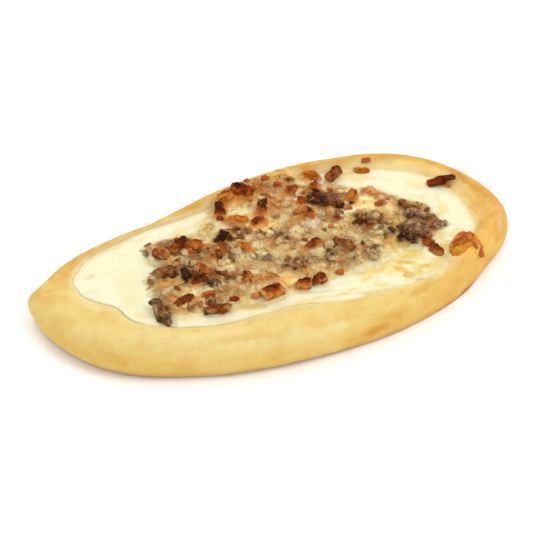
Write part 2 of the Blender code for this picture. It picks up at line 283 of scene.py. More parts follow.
# ---- materials ---------------------------------------------------------------------------------------------
class Nodes:
    def __init__(self, name):
        self.mat = bpy.data.materials.new(name)
        self.mat.use_nodes = True
        self.tree = self.mat.node_tree
        self.shader = self.tree.nodes["Principled BSDF"]
        self.coord = self.tree.nodes.new("ShaderNodeTexCoord")

    def new(self, kind, **settings):
        n = self.tree.nodes.new(kind)
        for k, v in settings.items():
            setattr(n, k, v)
        return n

    def link(self, a, b):
        self.tree.links.new(a, b)

    def noise(self, size_mm, detail=3.0, rough=0.55, distortion=0.0):
        n = self.new("ShaderNodeTexNoise")
        n.inputs["Scale"].default_value = 1000.0 / size_mm
        n.inputs["Detail"].default_value = detail
        n.inputs["Roughness"].default_value = rough
        n.inputs["Distortion"].default_value = distortion
        self.link(self.coord.outputs["Object"], n.inputs["Vector"])
        return n.outputs["Fac"]

    def cellular(self, size_mm, feature="F1", smooth=0.0):
        n = self.new("ShaderNodeTexVoronoi", feature="SMOOTH_F1" if smooth else feature)
        n.inputs["Scale"].default_value = 1000.0 / size_mm
        if smooth:
            n.inputs["Smoothness"].default_value = smooth
        self.link(self.coord.outputs["Object"], n.inputs["Vector"])
        return n.outputs["Distance"]

    def span(self, value, low, high, to_low=0.0, to_high=1.0):
        n = self.new("ShaderNodeMapRange")
        n.inputs["From Min"].default_value, n.inputs["From Max"].default_value = low, high
        n.inputs["To Min"].default_value, n.inputs["To Max"].default_value = to_low, to_high
        self.link(value, n.inputs["Value"])
        return n.outputs["Result"]

    def math(self, op, a, b):
        n = self.new("ShaderNodeMath", operation=op)
        for socket, x in zip(n.inputs, (a, b)):
            if isinstance(x, (int, float)):
                socket.default_value = x
            else:
                self.link(x, socket)
        return n.outputs[0]

    def blend(self, a, b, t, mode="MIX"):
        n = self.new("ShaderNodeMix", data_type="RGBA", blend_type=mode)
        n.clamp_factor = True
        for socket, x in ((n.inputs[6], a), (n.inputs[7], b)):
            if hasattr(x, "default_value") or hasattr(x, "links"):
                self.link(x, socket)
            else:
                socket.default_value = (*[float(c) for c in x], 1.0)
        if isinstance(t, (int, float)):
            n.inputs[0].default_value = t
        else:
            self.link(t, n.inputs[0])
        return n.outputs[2]

    def paint(self, name="paint"):
        n = self.new("ShaderNodeAttribute", attribute_name=name)
        return n.outputs["Color"]

    def value(self, name):
        n = self.new("ShaderNodeAttribute", attribute_name=name)
        return n.outputs["Fac"]

    def bumps(self, layers):
        """layers: (height socket, strength, distance in mm)."""
        normal = None
        for height, strength, distance in layers:
            n = self.new("ShaderNodeBump")
            n.inputs["Strength"].default_value = strength
            n.inputs["Distance"].default_value = distance * MM
            self.link(height, n.inputs["Height"])
            if normal is not None:
                self.link(normal, n.inputs["Normal"])
            normal = n.outputs["Normal"]
        self.link(normal, self.shader.inputs["Normal"])

    def soft(self, weight, radius_mm, scale=1.0):
        s = self.shader.inputs
        s["Subsurface Weight"].default_value = weight
        s["Subsurface Radius"].default_value = tuple(r for r in radius_mm)
        s["Subsurface Scale"].default_value = MM * scale


def crust_material():
    m = Nodes("crust")
    fine = m.noise(3.0, 5.0, 0.6)
    broad = m.noise(16.0, 4.0, 0.6)
    colour = m.blend(m.paint(), rgb(252, 230, 162), m.span(broad, 0.50, 0.78, 0.0, 0.35))
    colour = m.blend(colour, rgb(226, 168, 72), m.span(broad, 0.46, 0.24, 0.0, 0.38))
    colour = m.blend(colour, rgb(218, 160, 72), m.span(fine, 0.44, 0.22, 0.0, 0.35))
    colour = m.blend(colour, rgb(252, 236, 182), m.span(fine, 0.56, 0.80, 0.0, 0.35))
    m.link(colour, m.shader.inputs["Base Color"])
    m.link(m.span(fine, 0.3, 0.7, 0.50, 0.66), m.shader.inputs["Roughness"])
    m.shader.inputs["Specular IOR Level"].default_value = 0.12
    m.soft(0.15, (2.2, 1.2, 0.5))
    m.bumps([(m.noise(5.0, 4.0, 0.55), 0.35, 0.5), (m.noise(0.9, 4.0, 0.65), 0.30, 0.12)])
    return m.mat


def cream_material():
    m = Nodes("cream")
    broad = m.noise(9.0, 3.0, 0.5)
    colour = m.blend(m.paint(), rgb(250, 236, 178), m.span(broad, 0.52, 0.8, 0.0, 0.30))
    m.link(colour, m.shader.inputs["Base Color"])
    m.link(m.span(broad, 0.3, 0.7, 0.30, 0.46), m.shader.inputs["Roughness"])
    m.shader.inputs["Specular IOR Level"].default_value = 0.28
    m.soft(0.45, (2.6, 2.0, 1.2))
    m.bumps([(m.noise(7.0, 3.0, 0.5), 0.25, 0.4), (m.noise(1.4, 4.0, 0.6), 0.18, 0.12)])
    return m.mat


def cheese_material():
    m = Nodes("melted_cheese")
    fine = m.noise(1.1, 4.0, 0.65)
    colour = m.blend(m.paint(), rgb(124, 68, 24), m.span(fine, 0.45, 0.26, 0.0, 0.50))
    # pale specks, painted highlights on the cheese
    colour = m.blend(colour, rgb(250, 226, 150), m.span(fine, 0.60, 0.80, 0.0, 0.38))
    m.link(colour, m.shader.inputs["Base Color"])
    m.link(m.span(fine, 0.3, 0.7, 0.24, 0.42), m.shader.inputs["Roughness"])
    m.shader.inputs["Specular IOR Level"].default_value = 0.12
    m.soft(0.25, (1.6, 1.2, 0.6))
    m.bumps([(m.noise(2.2, 4.0, 0.6), 0.4, 0.35), (m.noise(0.7, 3.0, 0.6), 0.3, 0.12)])
    return m.mat


def bacon_material():
    m = Nodes("bacon")
    fine = m.noise(1.2, 4.0, 0.6, 0.4)
    colour = m.blend(m.paint(), rgb(84, 26, 10), m.span(fine, 0.46, 0.25, 0.0, 0.60))
    # golden specks, painted glints
    colour = m.blend(colour, rgb(236, 158, 66), m.span(fine, 0.58, 0.82, 0.0, 0.40))
    m.link(colour, m.shader.inputs["Base Color"])
    m.link(m.span(fine, 0.3, 0.7, 0.24, 0.42), m.shader.inputs["Roughness"])
    m.shader.inputs["Specular IOR Level"].default_value = 0.03
    m.soft(0.15, (1.0, 0.5, 0.25))
    m.bumps([(m.noise(1.6, 4.0, 0.6), 0.5, 0.3), (m.noise(0.5, 3.0, 0.6), 0.3, 0.1)])
    return m.mat


def mushroom_material():
    m = Nodes("mushroom")
    fine = m.noise(1.3, 5.0, 0.65, 0.3)
    colour = m.blend(m.paint(), rgb(44, 24, 12), m.span(fine, 0.46, 0.28, 0.0, 0.55))
    # pale specks, painted highlights
    colour = m.blend(colour, rgb(204, 156, 92), m.span(fine, 0.58, 0.80, 0.0, 0.42))
    m.link(colour, m.shader.inputs["Base Color"])
    m.link(m.span(fine, 0.3, 0.7, 0.28, 0.5), m.shader.inputs["Roughness"])
    m.shader.inputs["Specular IOR Level"].default_value = 0.03
    m.soft(0.12, (1.0, 0.6, 0.4))
    m.bumps([(m.noise(1.4, 4.0, 0.65), 0.55, 0.3), (m.noise(0.45, 3.0, 0.6), 0.3, 0.1)])
    return m.mat


def herb_material():
    m = Nodes("herb")
    colour = m.blend(m.paint(), rgb(40, 44, 16), m.span(m.noise(0.6, 2.0), 0.4, 0.7, 0.0, 0.5))
    m.link(colour, m.shader.inputs["Base Color"])
    m.shader.inputs["Roughness"].default_value = 0.6
    return m.mat


def floor_material():
    m = Nodes("floor")
    n = m.noise(400.0, 2.0)
    m.link(m.blend((0.93, 0.93, 0.93), (0.95, 0.95, 0.95), n), m.shader.inputs["Base Color"])
    m.shader.inputs["Roughness"].default_value = 0.9
    m.shader.inputs["Specular IOR Level"].default_value = 0.1
    return m.mat


# ---- the bread ---------------------------------------------------------------------------------------------
def px_spot(px, py, z=22.0):
    """The point at height z that the photograph shows at a pixel."""
    d = view_ray(px, py)
    return (EYE + d * (z - EYE[2]) / d[2])[:2]


BREAD_N = 560
UNDER_ROWS = 26


def bread_rings(angles):
    d = np.degrees(np.mod(angles, 2 * np.pi))
    outer, inner = edge(angles), hollow(angles)
    # the dough bulges low at the round end's near side, over a darker fold, and pinches in beside the pointed end
    lip = bump(d, 226, 8)
    corner = 3.8 * step(d, 7, 16) * (1 - step(d, 22, 48)) - 1.0 * bump(d, 7, 4) + 1.1 * bump(d, 355, 14) - 0.8 * bump(d, 232, 26)
    width = np.linalg.norm(inner - outer, axis=1)
    foot = FOOT - 0.22 * lip
    hz, cz = crest_z(angles), cream_z(angles)
    rings, tags = [], []

    def add(share, z, tag):
        share = share + corner / width * (1 - step(np.array(tag), 0.2, 1.3))
        p = outer * (1 - share)[:, None] + inner * share[:, None]
        rings.append(np.column_stack([p, z]))
        tags.append(tag)

    one = np.ones(len(angles))
    for t in np.linspace(0, 0.9, 14):
        tau = (1 - t) * np.pi / 2
        add(foot * (1 - math.cos(tau)) + (1 - t) * 0.0 * one, BULGE_Z * (1 - math.sin(tau)) * one, t - 1)
    for t in np.linspace(0, 1, 44):
        tau = t * np.pi / 2
        share = CREST * (1 - math.cos(tau)) * one
        add(share, BULGE_Z + (hz - BULGE_Z) * math.sin(tau), t)
    soft = 0.65 * np.clip(bump(d, 145, 42), 0, 1)
    for b in np.linspace(0.03, 1, 34):
        add(CREST + (1 - CREST) * b * one, hz - (hz - cz) * ((1 - soft) * b**2.2 + soft * b * b * (3 - 2 * b)), 1 + b)
    return rings, tags


def build_bread(mat):
    n = BREAD_N
    angles = 2 * np.pi * np.arange(n) / n
    rings, tags = bread_rings(angles)
    walls = ((0.99, 0.03), (0.975, 0.12), (0.95, 0.30), (0.93, 0.44), (0.90, 0.62), (0.86, 0.78), (0.70, 0.98), (0.35, 1.0))
    cz, h = cream_z(angles), hollow(angles)
    for reach, drop in walls:
        p = MIDDLE * (1 - reach) + h * reach
        rings.append(np.column_stack([p, cz - (cz - FLOOR_Z) * drop]))
        tags.append(3.0)
    rows = len(rings)
    v = np.concatenate(rings)
    tag = np.repeat(tags, n)
    ang = np.tile(angles, rows)
    # outward direction, for the relief
    grid = v.reshape(rows, n, 3)
    du = np.roll(grid, -1, 1) - np.roll(grid, 1, 1)
    dv = np.gradient(grid, axis=0)
    nor = np.cross(du, dv)
    nor /= np.maximum(np.linalg.norm(nor, axis=2, keepdims=True), 1e-9)
    nor = nor.reshape(-1, 3)
    if (nor[(tag > 0.9) & (tag < 1.1)][:, 2]).mean() < 0:
        nor = -nor
    show = step(tag, -0.75, -0.35) * (1 - step(tag, 2.0, 3.0))
    relief = 0.55 * fbm(v, 34, 3, 3) + 0.30 * fbm(v, 12, 3, 5) + 0.09 * fbm(v, 3.2, 3, 9)
    # shallow wrinkles that run along the side of the dough
    d = np.degrees(ang)
    side = bump(tag, 0.35, 0.5)
    wr = fbm(np.column_stack([d * 0.9, v[:, 2] * 2.4]), 9, 3, 21)
    relief = relief + 0.16 * side * wr
    v = v + nor * (relief * show)[:, None]
    v[:, 2] = np.maximum(v[:, 2], 0.0)
    centre_low = np.array([[MIDDLE[0], MIDDLE[1], 0.0]])
    centre_top = np.array([[MIDDLE[0], MIDDLE[1], FLOOR_Z]])
    # the foot ring is drawn in again and again, so the underside is not one long fan
    under = []
    shares = 1 - (np.arange(UNDER_ROWS) + 1) / (UNDER_ROWS + 1)
    for s in shares:
        p = MIDDLE * (1 - s) + v[:n, :2] * s
        under.append(np.column_stack([p, np.zeros(n)]))
    under = under[::-1]
    verts = np.concatenate([np.concatenate(under), v, centre_low, centre_top])
    total_rows = rows + UNDER_ROWS
    faces = ring_faces(total_rows, n)
    c0, c1 = len(verts) - 2, len(verts) - 1
    faces = np.concatenate([faces, fan(c0, 0, n, flip=True), fan(c1, (total_rows - 1) * n, n)])
    tag_all = np.concatenate([np.full(UNDER_ROWS * n, -1.0), tag, [-1.0, 3.0]])
    ang_all = np.concatenate([np.tile(angles, UNDER_ROWS), ang, [0, 0]])
    colour = bread_colour(verts, tag_all, ang_all)
    obj = make_object("bread_look", verts, faces[:, ::-1], colour)
    obj.data.materials.append(mat)
    return obj


# Toasted and pale patches of the dough, and lighter patches that are painted light along the rim's inner edge, where it
# lies in shade: centre, half-widths and turn in the photograph's frame, colour, how much.
BREAD_PATCHES = (
    (377, 330, 24, 7, -18, "amber", 0.85), (372, 333, 12, 4, -16, "toast", 0.30), (352, 339, 9, 4, -10, "toast", 0.30), (338, 326, 13, 6, -8, "pale", 0.8), (304, 340, 44, 13, -8, "pale", 0.45),
    (170, 338, 56, 12, 6, "pale", 0.40), (214, 345, 20, 6, 0, "pale", 0.20), (80, 262, 24, 7, -33, "toast", 0.30), (62, 276, 12, 5, -35, "gold", 0.35),
    (455, 173, 15, 5, 24, "toast", 0.70), (478, 190, 10, 5, 35, "toast", 0.45), (468, 184, 6, 3, 20, "brown", 0.25), (430, 160, 24, 4, 10, "toast", 0.35),
    (499, 225, 7, 24, -6, "toast", 0.45), (494, 262, 10, 12, 30, "toast", 0.35), (440, 296, 26, 7, -18, "gold", 0.55), (404, 312, 22, 6, -14, "gold", 0.45),
    (472, 276, 14, 7, -35, "gold", 0.45), (296, 166, 26, 4, -10, "toast", 0.35), (347, 156, 24, 5, -8, "toast", 0.50), (392, 155, 22, 4, 0, "toast", 0.35),
    (246, 184, 26, 4, -25, "toast", 0.45), (150, 222, 30, 4, -30, "toast", 0.28), (478, 226, 6, 10, 0, "gold", 0.40), (486, 205, 8, 6, 30, "gold", 0.35),
    (100, 318, 30, 8, 20, "gold", 0.30), (60, 322, 20, 12, 30, "gold", 0.25), (268, 352, 60, 6, -10, "gold", 0.20),
    (342, 162, 16, 7, -12, "amber", 0.75), (308, 167, 20, 5, -12, "amber", 0.80), (383, 160, 18, 6, 0, "amber", 0.55), (364, 167, 14, 4, -5, "amber", 0.45),
    (326, 171, 12, 4, -10, "toast", 0.45), (396, 155, 22, 4, 4, "toast", 0.30), (428, 163, 16, 5, 12, "amber", 0.35), (186, 209, 16, 5, -32, "amber", 0.55),
    (452, 263, 16, 8, -42, "amber", 0.75), (425, 287, 22, 8, -28, "amber", 0.60), (392, 312, 22, 8, -20, "amber", 0.45), (468, 262, 12, 9, -45, "gold", 0.50),
    (44, 298, 16, 12, 0, "gold", 0.55), (60, 285, 14, 8, -30, "gold", 0.40), (240, 337, 40, 5, -5, "gold", 0.45), (190, 345, 40, 5, 3, "gold", 0.25),
    (95, 310, 16, 6, 20, "pale", 0.65), (108, 304, 10, 5, 15, "pale", 0.6), (440, 175, 16, 4, 16, "pale", 0.5), (462, 188, 12, 4, 30, "pale", 0.45),
    (420, 160, 30, 3, 10, "gold", 0.3), (500, 222, 5, 14, 0, "pale", 0.35), (478, 205, 7, 9, 20, "amber", 0.30), (482, 226, 6, 9, 10, "amber", 0.35),
    (70, 268, 12, 4, -35, "amber", 0.35), (112, 243, 16, 4, -32, "gold", 0.30),
    # painted light: lighter paint along the rim's inner edge, where it lies in shade
    (322, 173, 20, 4, -10, "painted_light", 0.75), (358, 169, 22, 4, -3, "painted_light", 0.75), (398, 167, 24, 4, 3, "painted_light", 0.75), (432, 173, 18, 4, 18, "painted_light", 0.75),
    (455, 187, 12, 4, 38, "painted_light", 0.75), (466, 204, 10, 4, 62, "painted_light", 0.6),
    (456, 283, 14, 8, -40, "amber", 0.40), (193, 209, 18, 4, -30, "amber", 0.55), (160, 225, 24, 4, -30, "amber", 0.35), (458, 184, 10, 4, 35, "pale", 0.5),
    (463, 178, 6, 2.5, 35, "toast", 0.6), (440, 273, 14, 5, -38, "painted_light", 0.6), (400, 166, 26, 4, 3, "painted_light", 0.6), (440, 180, 16, 4, 30, "painted_light", 0.6),
)


def bread_colour(v, tag, ang):
    d = np.degrees(np.mod(ang, 2 * np.pi))
    low = fbm(v, 40, 3, 41)
    mid = fbm(v, 11, 3, 43)
    fine = fbm(v, 4.5, 3, 45)
    pale, base, gold = rgb(250, 230, 164), rgb(242, 211, 126), rgb(233, 184, 88)
    tan, brown, dark = rgb(228, 154, 68), rgb(190, 128, 58), rgb(120, 74, 36)
    # the lightest tone is painted light, for the shaded inner edge of the rim
    tones = {"pale": pale, "gold": gold, "toast": rgb(216, 150, 62), "brown": rgb(176, 108, 44), "amber": rgb(224, 160, 54), "painted_light": rgb(268, 226, 132)}
    c = np.broadcast_to(base, (len(v), 3)).copy()
    right = step(v[:, 0], 30, 112)
    c = mix(c, rgb(244, 184, 76), 0.9 * right)
    # beside the cream the dough stays pale
    c = mix(c, pale, 0.7 * step(tag, 1.25, 1.9) * (1 - 0.6 * right))
    c = mix(c, pale, 0.4 * bump(d, 302, 34) * bump(tag, 0.75, 0.5))
    # the outermost part of the round end and the far crest are more golden
    c = mix(c, tan, 0.6 * step(v[:, 0], 96, 119) * (1 - step(tag, 1.2, 1.6)))
    farside = np.sin(np.radians(d)) > 0
    c = mix(c, rgb(228, 172, 76), 0.85 * farside * bump(tag, 0.9, 0.5) * step(mid + low, -0.9, 0.2))
    c = mix(c, pale, 0.5 * step(tag, 1.1, 1.5) * bump(d, 138, 26))
    c = mix(c, tan, 0.5 * farside * bump(tag, 0.55, 0.3) * step(mid, -0.3, 0.5))
    # golden band low on the side, then brown under it
    band = bump(tag, 0.05, 0.30)
    c = mix(c, rgb(240, 192, 84), np.clip(0.60 * band + 0.35 * band * mid, 0, 1))
    c = mix(c, rgb(224, 170, 74), 0.7 * (1 - step(tag, -0.5, -0.05)))
    c = mix(c, brown, 0.8 * (1 - step(tag + 0.12 * mid, -0.85, -0.45)))
    c = mix(c, dark, 0.5 * (1 - step(tag, -0.99, -0.9)) * step(low, 0.0, 0.8))
    c = mix(c, gold, 0.30 * step(low, 0.1, 0.8))
    c = mix(c, pale, 0.35 * step(-low, 0.1, 0.8))
    c = mix(c, gold, 0.30 * step(mid, 0.2, 0.8))
    c = mix(c, rgb(224, 166, 76), 0.30 * step(fine + 0.5 * mid, 0.25, 0.9))
    c = mix(c, pale, 0.30 * step(-fine - 0.3 * mid, 0.2, 0.8))
    px = pixels(v)
    warp = np.column_stack([noise(v, 9.0, 47), noise(v, 9.0, 49)]) * 4.0 + np.column_stack([noise(v, 3.5, 51), noise(v, 3.5, 53)]) * 1.6
    for cx, cy, rx, ry, turn, key, much in BREAD_PATCHES:
        a = math.radians(turn)
        dx, dy = px[:, 0] - cx + warp[:, 0], px[:, 1] - cy + warp[:, 1]
        u = (dx * math.cos(a) + dy * math.sin(a)) / rx
        w = (-dx * math.sin(a) + dy * math.cos(a)) / ry
        t = (1 - step(np.hypot(u, w), 0.2, 1.25)) * step(tag, -0.6, -0.1)
        c = mix(c, tones[key], much * t)
    # the cream has smeared over its edge, least at the pointed end's near side
    width = np.linalg.norm(edge(ang) - hollow(ang), axis=1)
    gap = (2 - tag) * (1 - CREST) * width
    smeared = (0.85 - 0.75 * bump(d, 318, 34) - 0.25 * bump(d, 280, 20)) * step(tag, 0.35, 0.85)
    reach = 3.4 + 11.0 * bump(d, 229, 15) + 3.0 * bump(d, 145, 26) + 2.5 * bump(d, 262, 20)
    c = mix(c, mix(rgb(252, 236, 178), rgb(247, 226, 168), 1.0 * (np.sin(np.radians(d)) > 0)), np.clip(smeared * (1 - step(gap + 1.3 * mid + 0.8 * fine, 0.3, reach)), 0, 1))
    # the dark fold at the near right
    patch = bump(d, 226, 6.5) * bump(tag, -0.66, 0.18)
    c = mix(c, rgb(186, 116, 50), np.clip(1.4 * patch * step(mid, -0.8, 0.2), 0, 1))
    return c


# ---- the cream ---------------------------------------------------------------------------------------------
def rim_gap(xy):
    """How far each point is from the middle, as a share of the way to the hollow's edge in its direction, and the
    angle station of that direction."""
    a = np.linspace(0, 2 * np.pi, 1441)[:-1]
    h = hollow(a) - MIDDLE
    direction = np.unwrap(np.arctan2(h[:, 1], h[:, 0]))
    # stations run from the pointed end over the far side: the direction falls from pi
    if direction[-1] < direction[0]:
        direction, a2, h2 = direction[::-1], a[::-1], h[::-1]
    else:
        a2, h2 = a, h
    q = xy - MIDDLE
    t = np.arctan2(q[:, 1], q[:, 0])
    t = np.mod(t - direction[0], 2 * np.pi) + direction[0]
    station = np.interp(t, np.append(direction, direction[0] + 2 * np.pi), np.append(a2, a2[0] - 2 * np.pi if a2[-1] < a2[0] else a2[0] + 2 * np.pi))
    radius = np.interp(t, np.append(direction, direction[0] + 2 * np.pi), np.append(np.linalg.norm(h2, axis=1), np.linalg.norm(h2[0])))
    return np.linalg.norm(q, axis=1) / radius, station, radius


CREAM_N = 640


def build_cream(mat, bread_tree):
    n = CREAM_N
    angles = 2 * np.pi * np.arange(n) / n
    h = hollow(angles)
    cz = cream_z(angles)
    d = np.degrees(angles)
    radius = np.linalg.norm(h - MIDDLE, axis=1)
    # the boundary wanders a little, and is drawn out thin at the near right
    ring3 = np.column_stack([h, np.zeros(n)])
    wander = 0.9 * fbm(ring3, 13, 3, 61) + 0.35 * fbm(ring3, 4, 2, 63)
    wander = wander + 2.2 * bump(d, 232, 14) - 1.0 * bump(d, 205, 10)
    shares = np.concatenate([np.linspace(0.04, 0.86, 92), np.linspace(0.868, 1.0, 44)])
    rings = []
    lip = 1.3
    for s in shares:
        r = radius + wander + 0.6
        p = MIDDLE + (h - MIDDLE) / radius[:, None] * (r * s)[:, None]
        inward = r * (1 - s)
        ease = np.clip(inward / lip, 0, 1)
        dome = np.sqrt(np.clip(1 - (1 - ease) ** 2, 0, 1))
        level = cz * s + 18.6 * (1 - s) + 1.0 * (1 - s**3)
        lift = 0.22 + 0.45 * bump(d, 325, 38) + 0.15 * bump(d, 20, 40)
        z = level + 0.12 + lift * dome + (0.88 - lift) * step(inward, 0.5, 9.0)
        rings.append(np.column_stack([p, z]))
    v = np.concatenate(rings)
    share = np.repeat(shares, n)
    ang = np.tile(d, len(shares))
    inward = (np.tile(radius + wander + 0.6, len(shares))) * (1 - share)
    inner = step(inward, 0.8, 5.0)
    relief = 0.42 * fbm(v[:, :2], 24, 3, 71) + 0.24 * fbm(v[:, :2], 7, 3, 73) + 0.10 * fbm(v[:, :2] * [1.0, 1.9], 3.6, 3, 75)
    # folds that run along the near edge, as the spatula left them
    near = np.clip(np.sin(np.radians(ang - 180)), 0, 1)
    lane = inward + 1.3 * noise(np.column_stack([ang * 0.7, inward * 0]), 16, 77)
    folds = np.sin(lane * 2 * np.pi / 5.2 + 0.8) * np.exp(-((inward - 6.5) / 5.0) ** 2)
    amp = 0.42 * bump(ang, 262, 26) + 0.5 * bump(ang, 235, 18)
    v[:, 2] += inner * relief + inner * near * amp * folds
    # wavy smears where it was drawn out toward the near right
    turn = np.radians(-32)
    run = np.column_stack([v[:, 0] * math.cos(turn) + v[:, 1] * math.sin(turn), v[:, 1] * math.cos(turn) - v[:, 0] * math.sin(turn)])
    smear = fbm(run / [6.5, 2.9] + 0.55 * noise(v[:, :2], 8, 91)[:, None], 1.0, 3, 93)
    where = step(v[:, 0], 34, 58) * step(-v[:, 1], 2, 14) * inner
    v[:, 2] += 0.95 * smear * where
    colour = cream_colour(v, ang, inward, smear)
    last = v[-n:].copy()
    skirt = []
    for k, drop in ((1.000, 1.2), (0.985, 3.0), (0.93, 5.6)):
        q = last.copy()
        q[:, :2] = MIDDLE + (last[:, :2] - MIDDLE) * k
        q[:, 2] = np.maximum(last[:, 2] - drop, 11.4)
        skirt.append(q)
    verts = np.concatenate([v] + skirt + [[[MIDDLE[0], MIDDLE[1], v[:n, 2].mean()]], [[MIDDLE[0], MIDDLE[1], 11.4]]])
    rows = len(shares) + 3
    faces = np.concatenate([ring_faces(rows, n), fan(len(verts) - 2, 0, n, flip=True), fan(len(verts) - 1, (rows - 1) * n, n)])
    colour = np.concatenate([colour, np.repeat(colour[-1:], 3 * n + 2, 0)])
    obj = make_object("cream_look", verts, faces, colour)
    obj.data.materials.append(mat)
    return obj


CREAM_TONES = {
    "oil": rgb(244, 214, 120), "yellow": rgb(238, 198, 96), "tan": rgb(222, 180, 106), "grey": rgb(206, 190, 150), "white": rgb(255, 254, 232),
    "warm": rgb(248, 226, 148), "mustard": rgb(216, 178, 92),
}
# Stains on the cream, and the grey one, painted shade in a shallow dimple: centre, half-widths and turn in the
# photograph's frame, colour, how much of it.
CREAM_PATCHES = (
    (400, 257, 36, 13, -22, "warm", 0.9), (366, 272, 26, 6, -14, "warm", 0.7), (382, 262, 18, 4, -18, "oil", 0.7), (406, 259, 9, 5, -30, "yellow", 1.0), (440, 258, 10, 7, -40, "yellow", 0.6), (434, 268, 12, 5, -30, "oil", 0.7),
    (413, 252, 9, 4, -25, "oil", 0.8), (382, 267, 6, 2.5, -12, "yellow", 0.9), (368, 279, 8, 3, -8, "oil", 0.8), (356, 270, 8, 3, -15, "oil", 0.6),
    (413, 270, 4, 2, 0, "yellow", 0.8), (421, 280, 6, 2, -10, "tan", 0.8), (430, 262, 8, 5, -40, "warm", 0.8), (372, 293, 12, 2.5, -8, "tan", 0.7),
    (392, 290, 12, 3, -8, "oil", 0.8), (345, 293, 14, 2.5, -12, "warm", 0.8), (300, 303, 26, 2.5, -14, "oil", 0.6), (248, 306, 20, 5, -4, "mustard", 0.95),
    (236, 309, 12, 3, 0, "oil", 0.6), (330, 282, 12, 3, -16, "white", 0.7), (299, 292, 20, 3, -15, "white", 0.6), (437, 249, 7, 5, -40, "oil", 0.6),
    # the grey patch here is painted shade in a shallow dimple
    (444, 282, 8, 5, -50, "warm", 0.7), (89, 277, 7, 3, -20, "grey", 0.35), (152, 262, 10, 4, 0, "oil", 0.7), (160, 270, 6, 3, 0, "warm", 0.6),
    (130, 300, 14, 10, 20, "warm", 0.4), (142, 315, 14, 4, 12, "warm", 0.5), (186, 318, 20, 3, 0, "warm", 0.4), (140, 240, 8, 3, -20, "warm", 0.5),
    (440, 205, 5, 12, -20, "warm", 0.4), (455, 232, 8, 5, -20, "warm", 0.6), (352, 174, 18, 5, -4, "yellow", 0.75), (358, 179, 20, 4, -3, "warm", 0.8), (416, 184, 14, 5, 8, "warm", 0.6),
    (444, 240, 6, 5, 0, "oil", 0.5), (426, 243, 9, 4, 20, "oil", 0.6), (200, 221, 14, 5, -22, "oil", 0.6), (178, 233, 12, 4, -24, "oil", 0.5), (250, 306, 18, 4, -4, "yellow", 0.45), (441, 247, 10, 6, -10, "yellow", 0.8), (368, 271, 14, 4, -14, "oil", 0.5),
    (441, 211, 8, 6, 0, "warm", 0.6), (441, 234, 9, 6, 0, "oil", 0.6), (420, 197, 10, 3, 10, "warm", 0.5),
)


def cream_colour(v, ang, inward, smear):
    base = rgb(254, 249, 212)
    c = np.broadcast_to(base, (len(v), 3)).copy()
    low = fbm(v[:, :2], 18, 3, 81)
    fine = fbm(v[:, :2], 4.0, 3, 83)
    c = mix(c, rgb(250, 238, 178), 0.40 * step(low, 0.1, 0.8))
    c = mix(c, rgb(236, 226, 180), 0.28 * step(fine, 0.15, 0.8))
    strokes = fbm(v[:, :2] * [1.0, 2.4], 7.0, 3, 99)
    c = mix(c, rgb(240, 228, 184), 0.40 * step(strokes, 0.18, 0.7))
    # painted shade: a thin brownish line in the crease where it meets the dough, clearest at the pointed end's near
    # side
    crease_shade = np.exp(-((inward / 0.7) ** 2))
    broken = 0.35 + 0.65 * step(fbm(v[:, :2], 9.0, 2, 97), -0.3, 0.3)
    far_right = bump(ang, 140, 48) + bump(ang, 232, 20)
    c = mix(c, rgb(200, 174, 122), np.clip(0.22 + 0.66 * bump(ang, 334, 28) + 0.34 * bump(ang, 5, 30) - 0.2 * bump(ang, 255, 16) - 0.16 * far_right, 0, 1) * crease_shade * broken)
    wide = 3.0 + 1.2 * fine + 2.4 * np.clip(far_right, 0, 1)
    c = mix(c, rgb(247, 228, 164), (0.60 + 0.25 * np.clip(far_right, 0, 1)) * (1 - step(inward, 0.3, wide)) * (1 - bump(ang, 335, 45)))
    # painted shade: a second, fainter greyish line inside the far edge at the pointed end, under the rim
    inner = np.exp(-(((inward - 3.2 - 0.8 * low) / 0.5) ** 2)) * bump(ang, 40, 22)
    c = mix(c, rgb(214, 192, 140), 0.35 * inner)
    px = pixels(v)
    warp = 2.2 * np.column_stack([noise(v, 7.0, 85), noise(v, 5.0, 87)])
    for cx, cy, rx, ry, turn, key, much in CREAM_PATCHES:
        a = math.radians(turn)
        dx, dy = px[:, 0] - cx + warp[:, 0], px[:, 1] - cy + warp[:, 1]
        u = (dx * math.cos(a) + dy * math.sin(a)) / rx
        w = (-dx * math.sin(a) + dy * math.cos(a)) / ry
        t = 1 - step(np.hypot(u, w) + 0.2 * noise(v, 3.0, 89), 0.25, 1.25)
        c = mix(c, CREAM_TONES[key], much * t)
    # yellow oil lies in the folds at the near right
    a = math.radians(-24)
    dx, dy = px[:, 0] - 404 + warp[:, 0], px[:, 1] - 268 + warp[:, 1]
    oily = 1 - step(np.hypot((dx * math.cos(a) + dy * math.sin(a)) / 52, (-dx * math.sin(a) + dy * math.cos(a)) / 17), 0.35, 1.15)
    spread = fbm(v[:, :2], 9.0, 3, 95)
    c = mix(c, rgb(250, 228, 138), 0.80 * oily * step(-smear + 0.8 * spread, -0.5, 0.4))
    c = mix(c, rgb(238, 198, 92), 0.75 * oily * step(-0.5 * smear + spread + 0.3 * fine, 0.10, 0.55))
    c = mix(c, rgb(216, 168, 84), 0.45 * oily * step(-0.6 * smear + fine, 0.35, 0.8))
    # the smears' crests are painted near white: clean cream, and partly a painted highlight
    c = mix(c, rgb(255, 253, 226), 0.45 * oily * step(smear + 0.3 * spread, 0.15, 0.7))
    return c


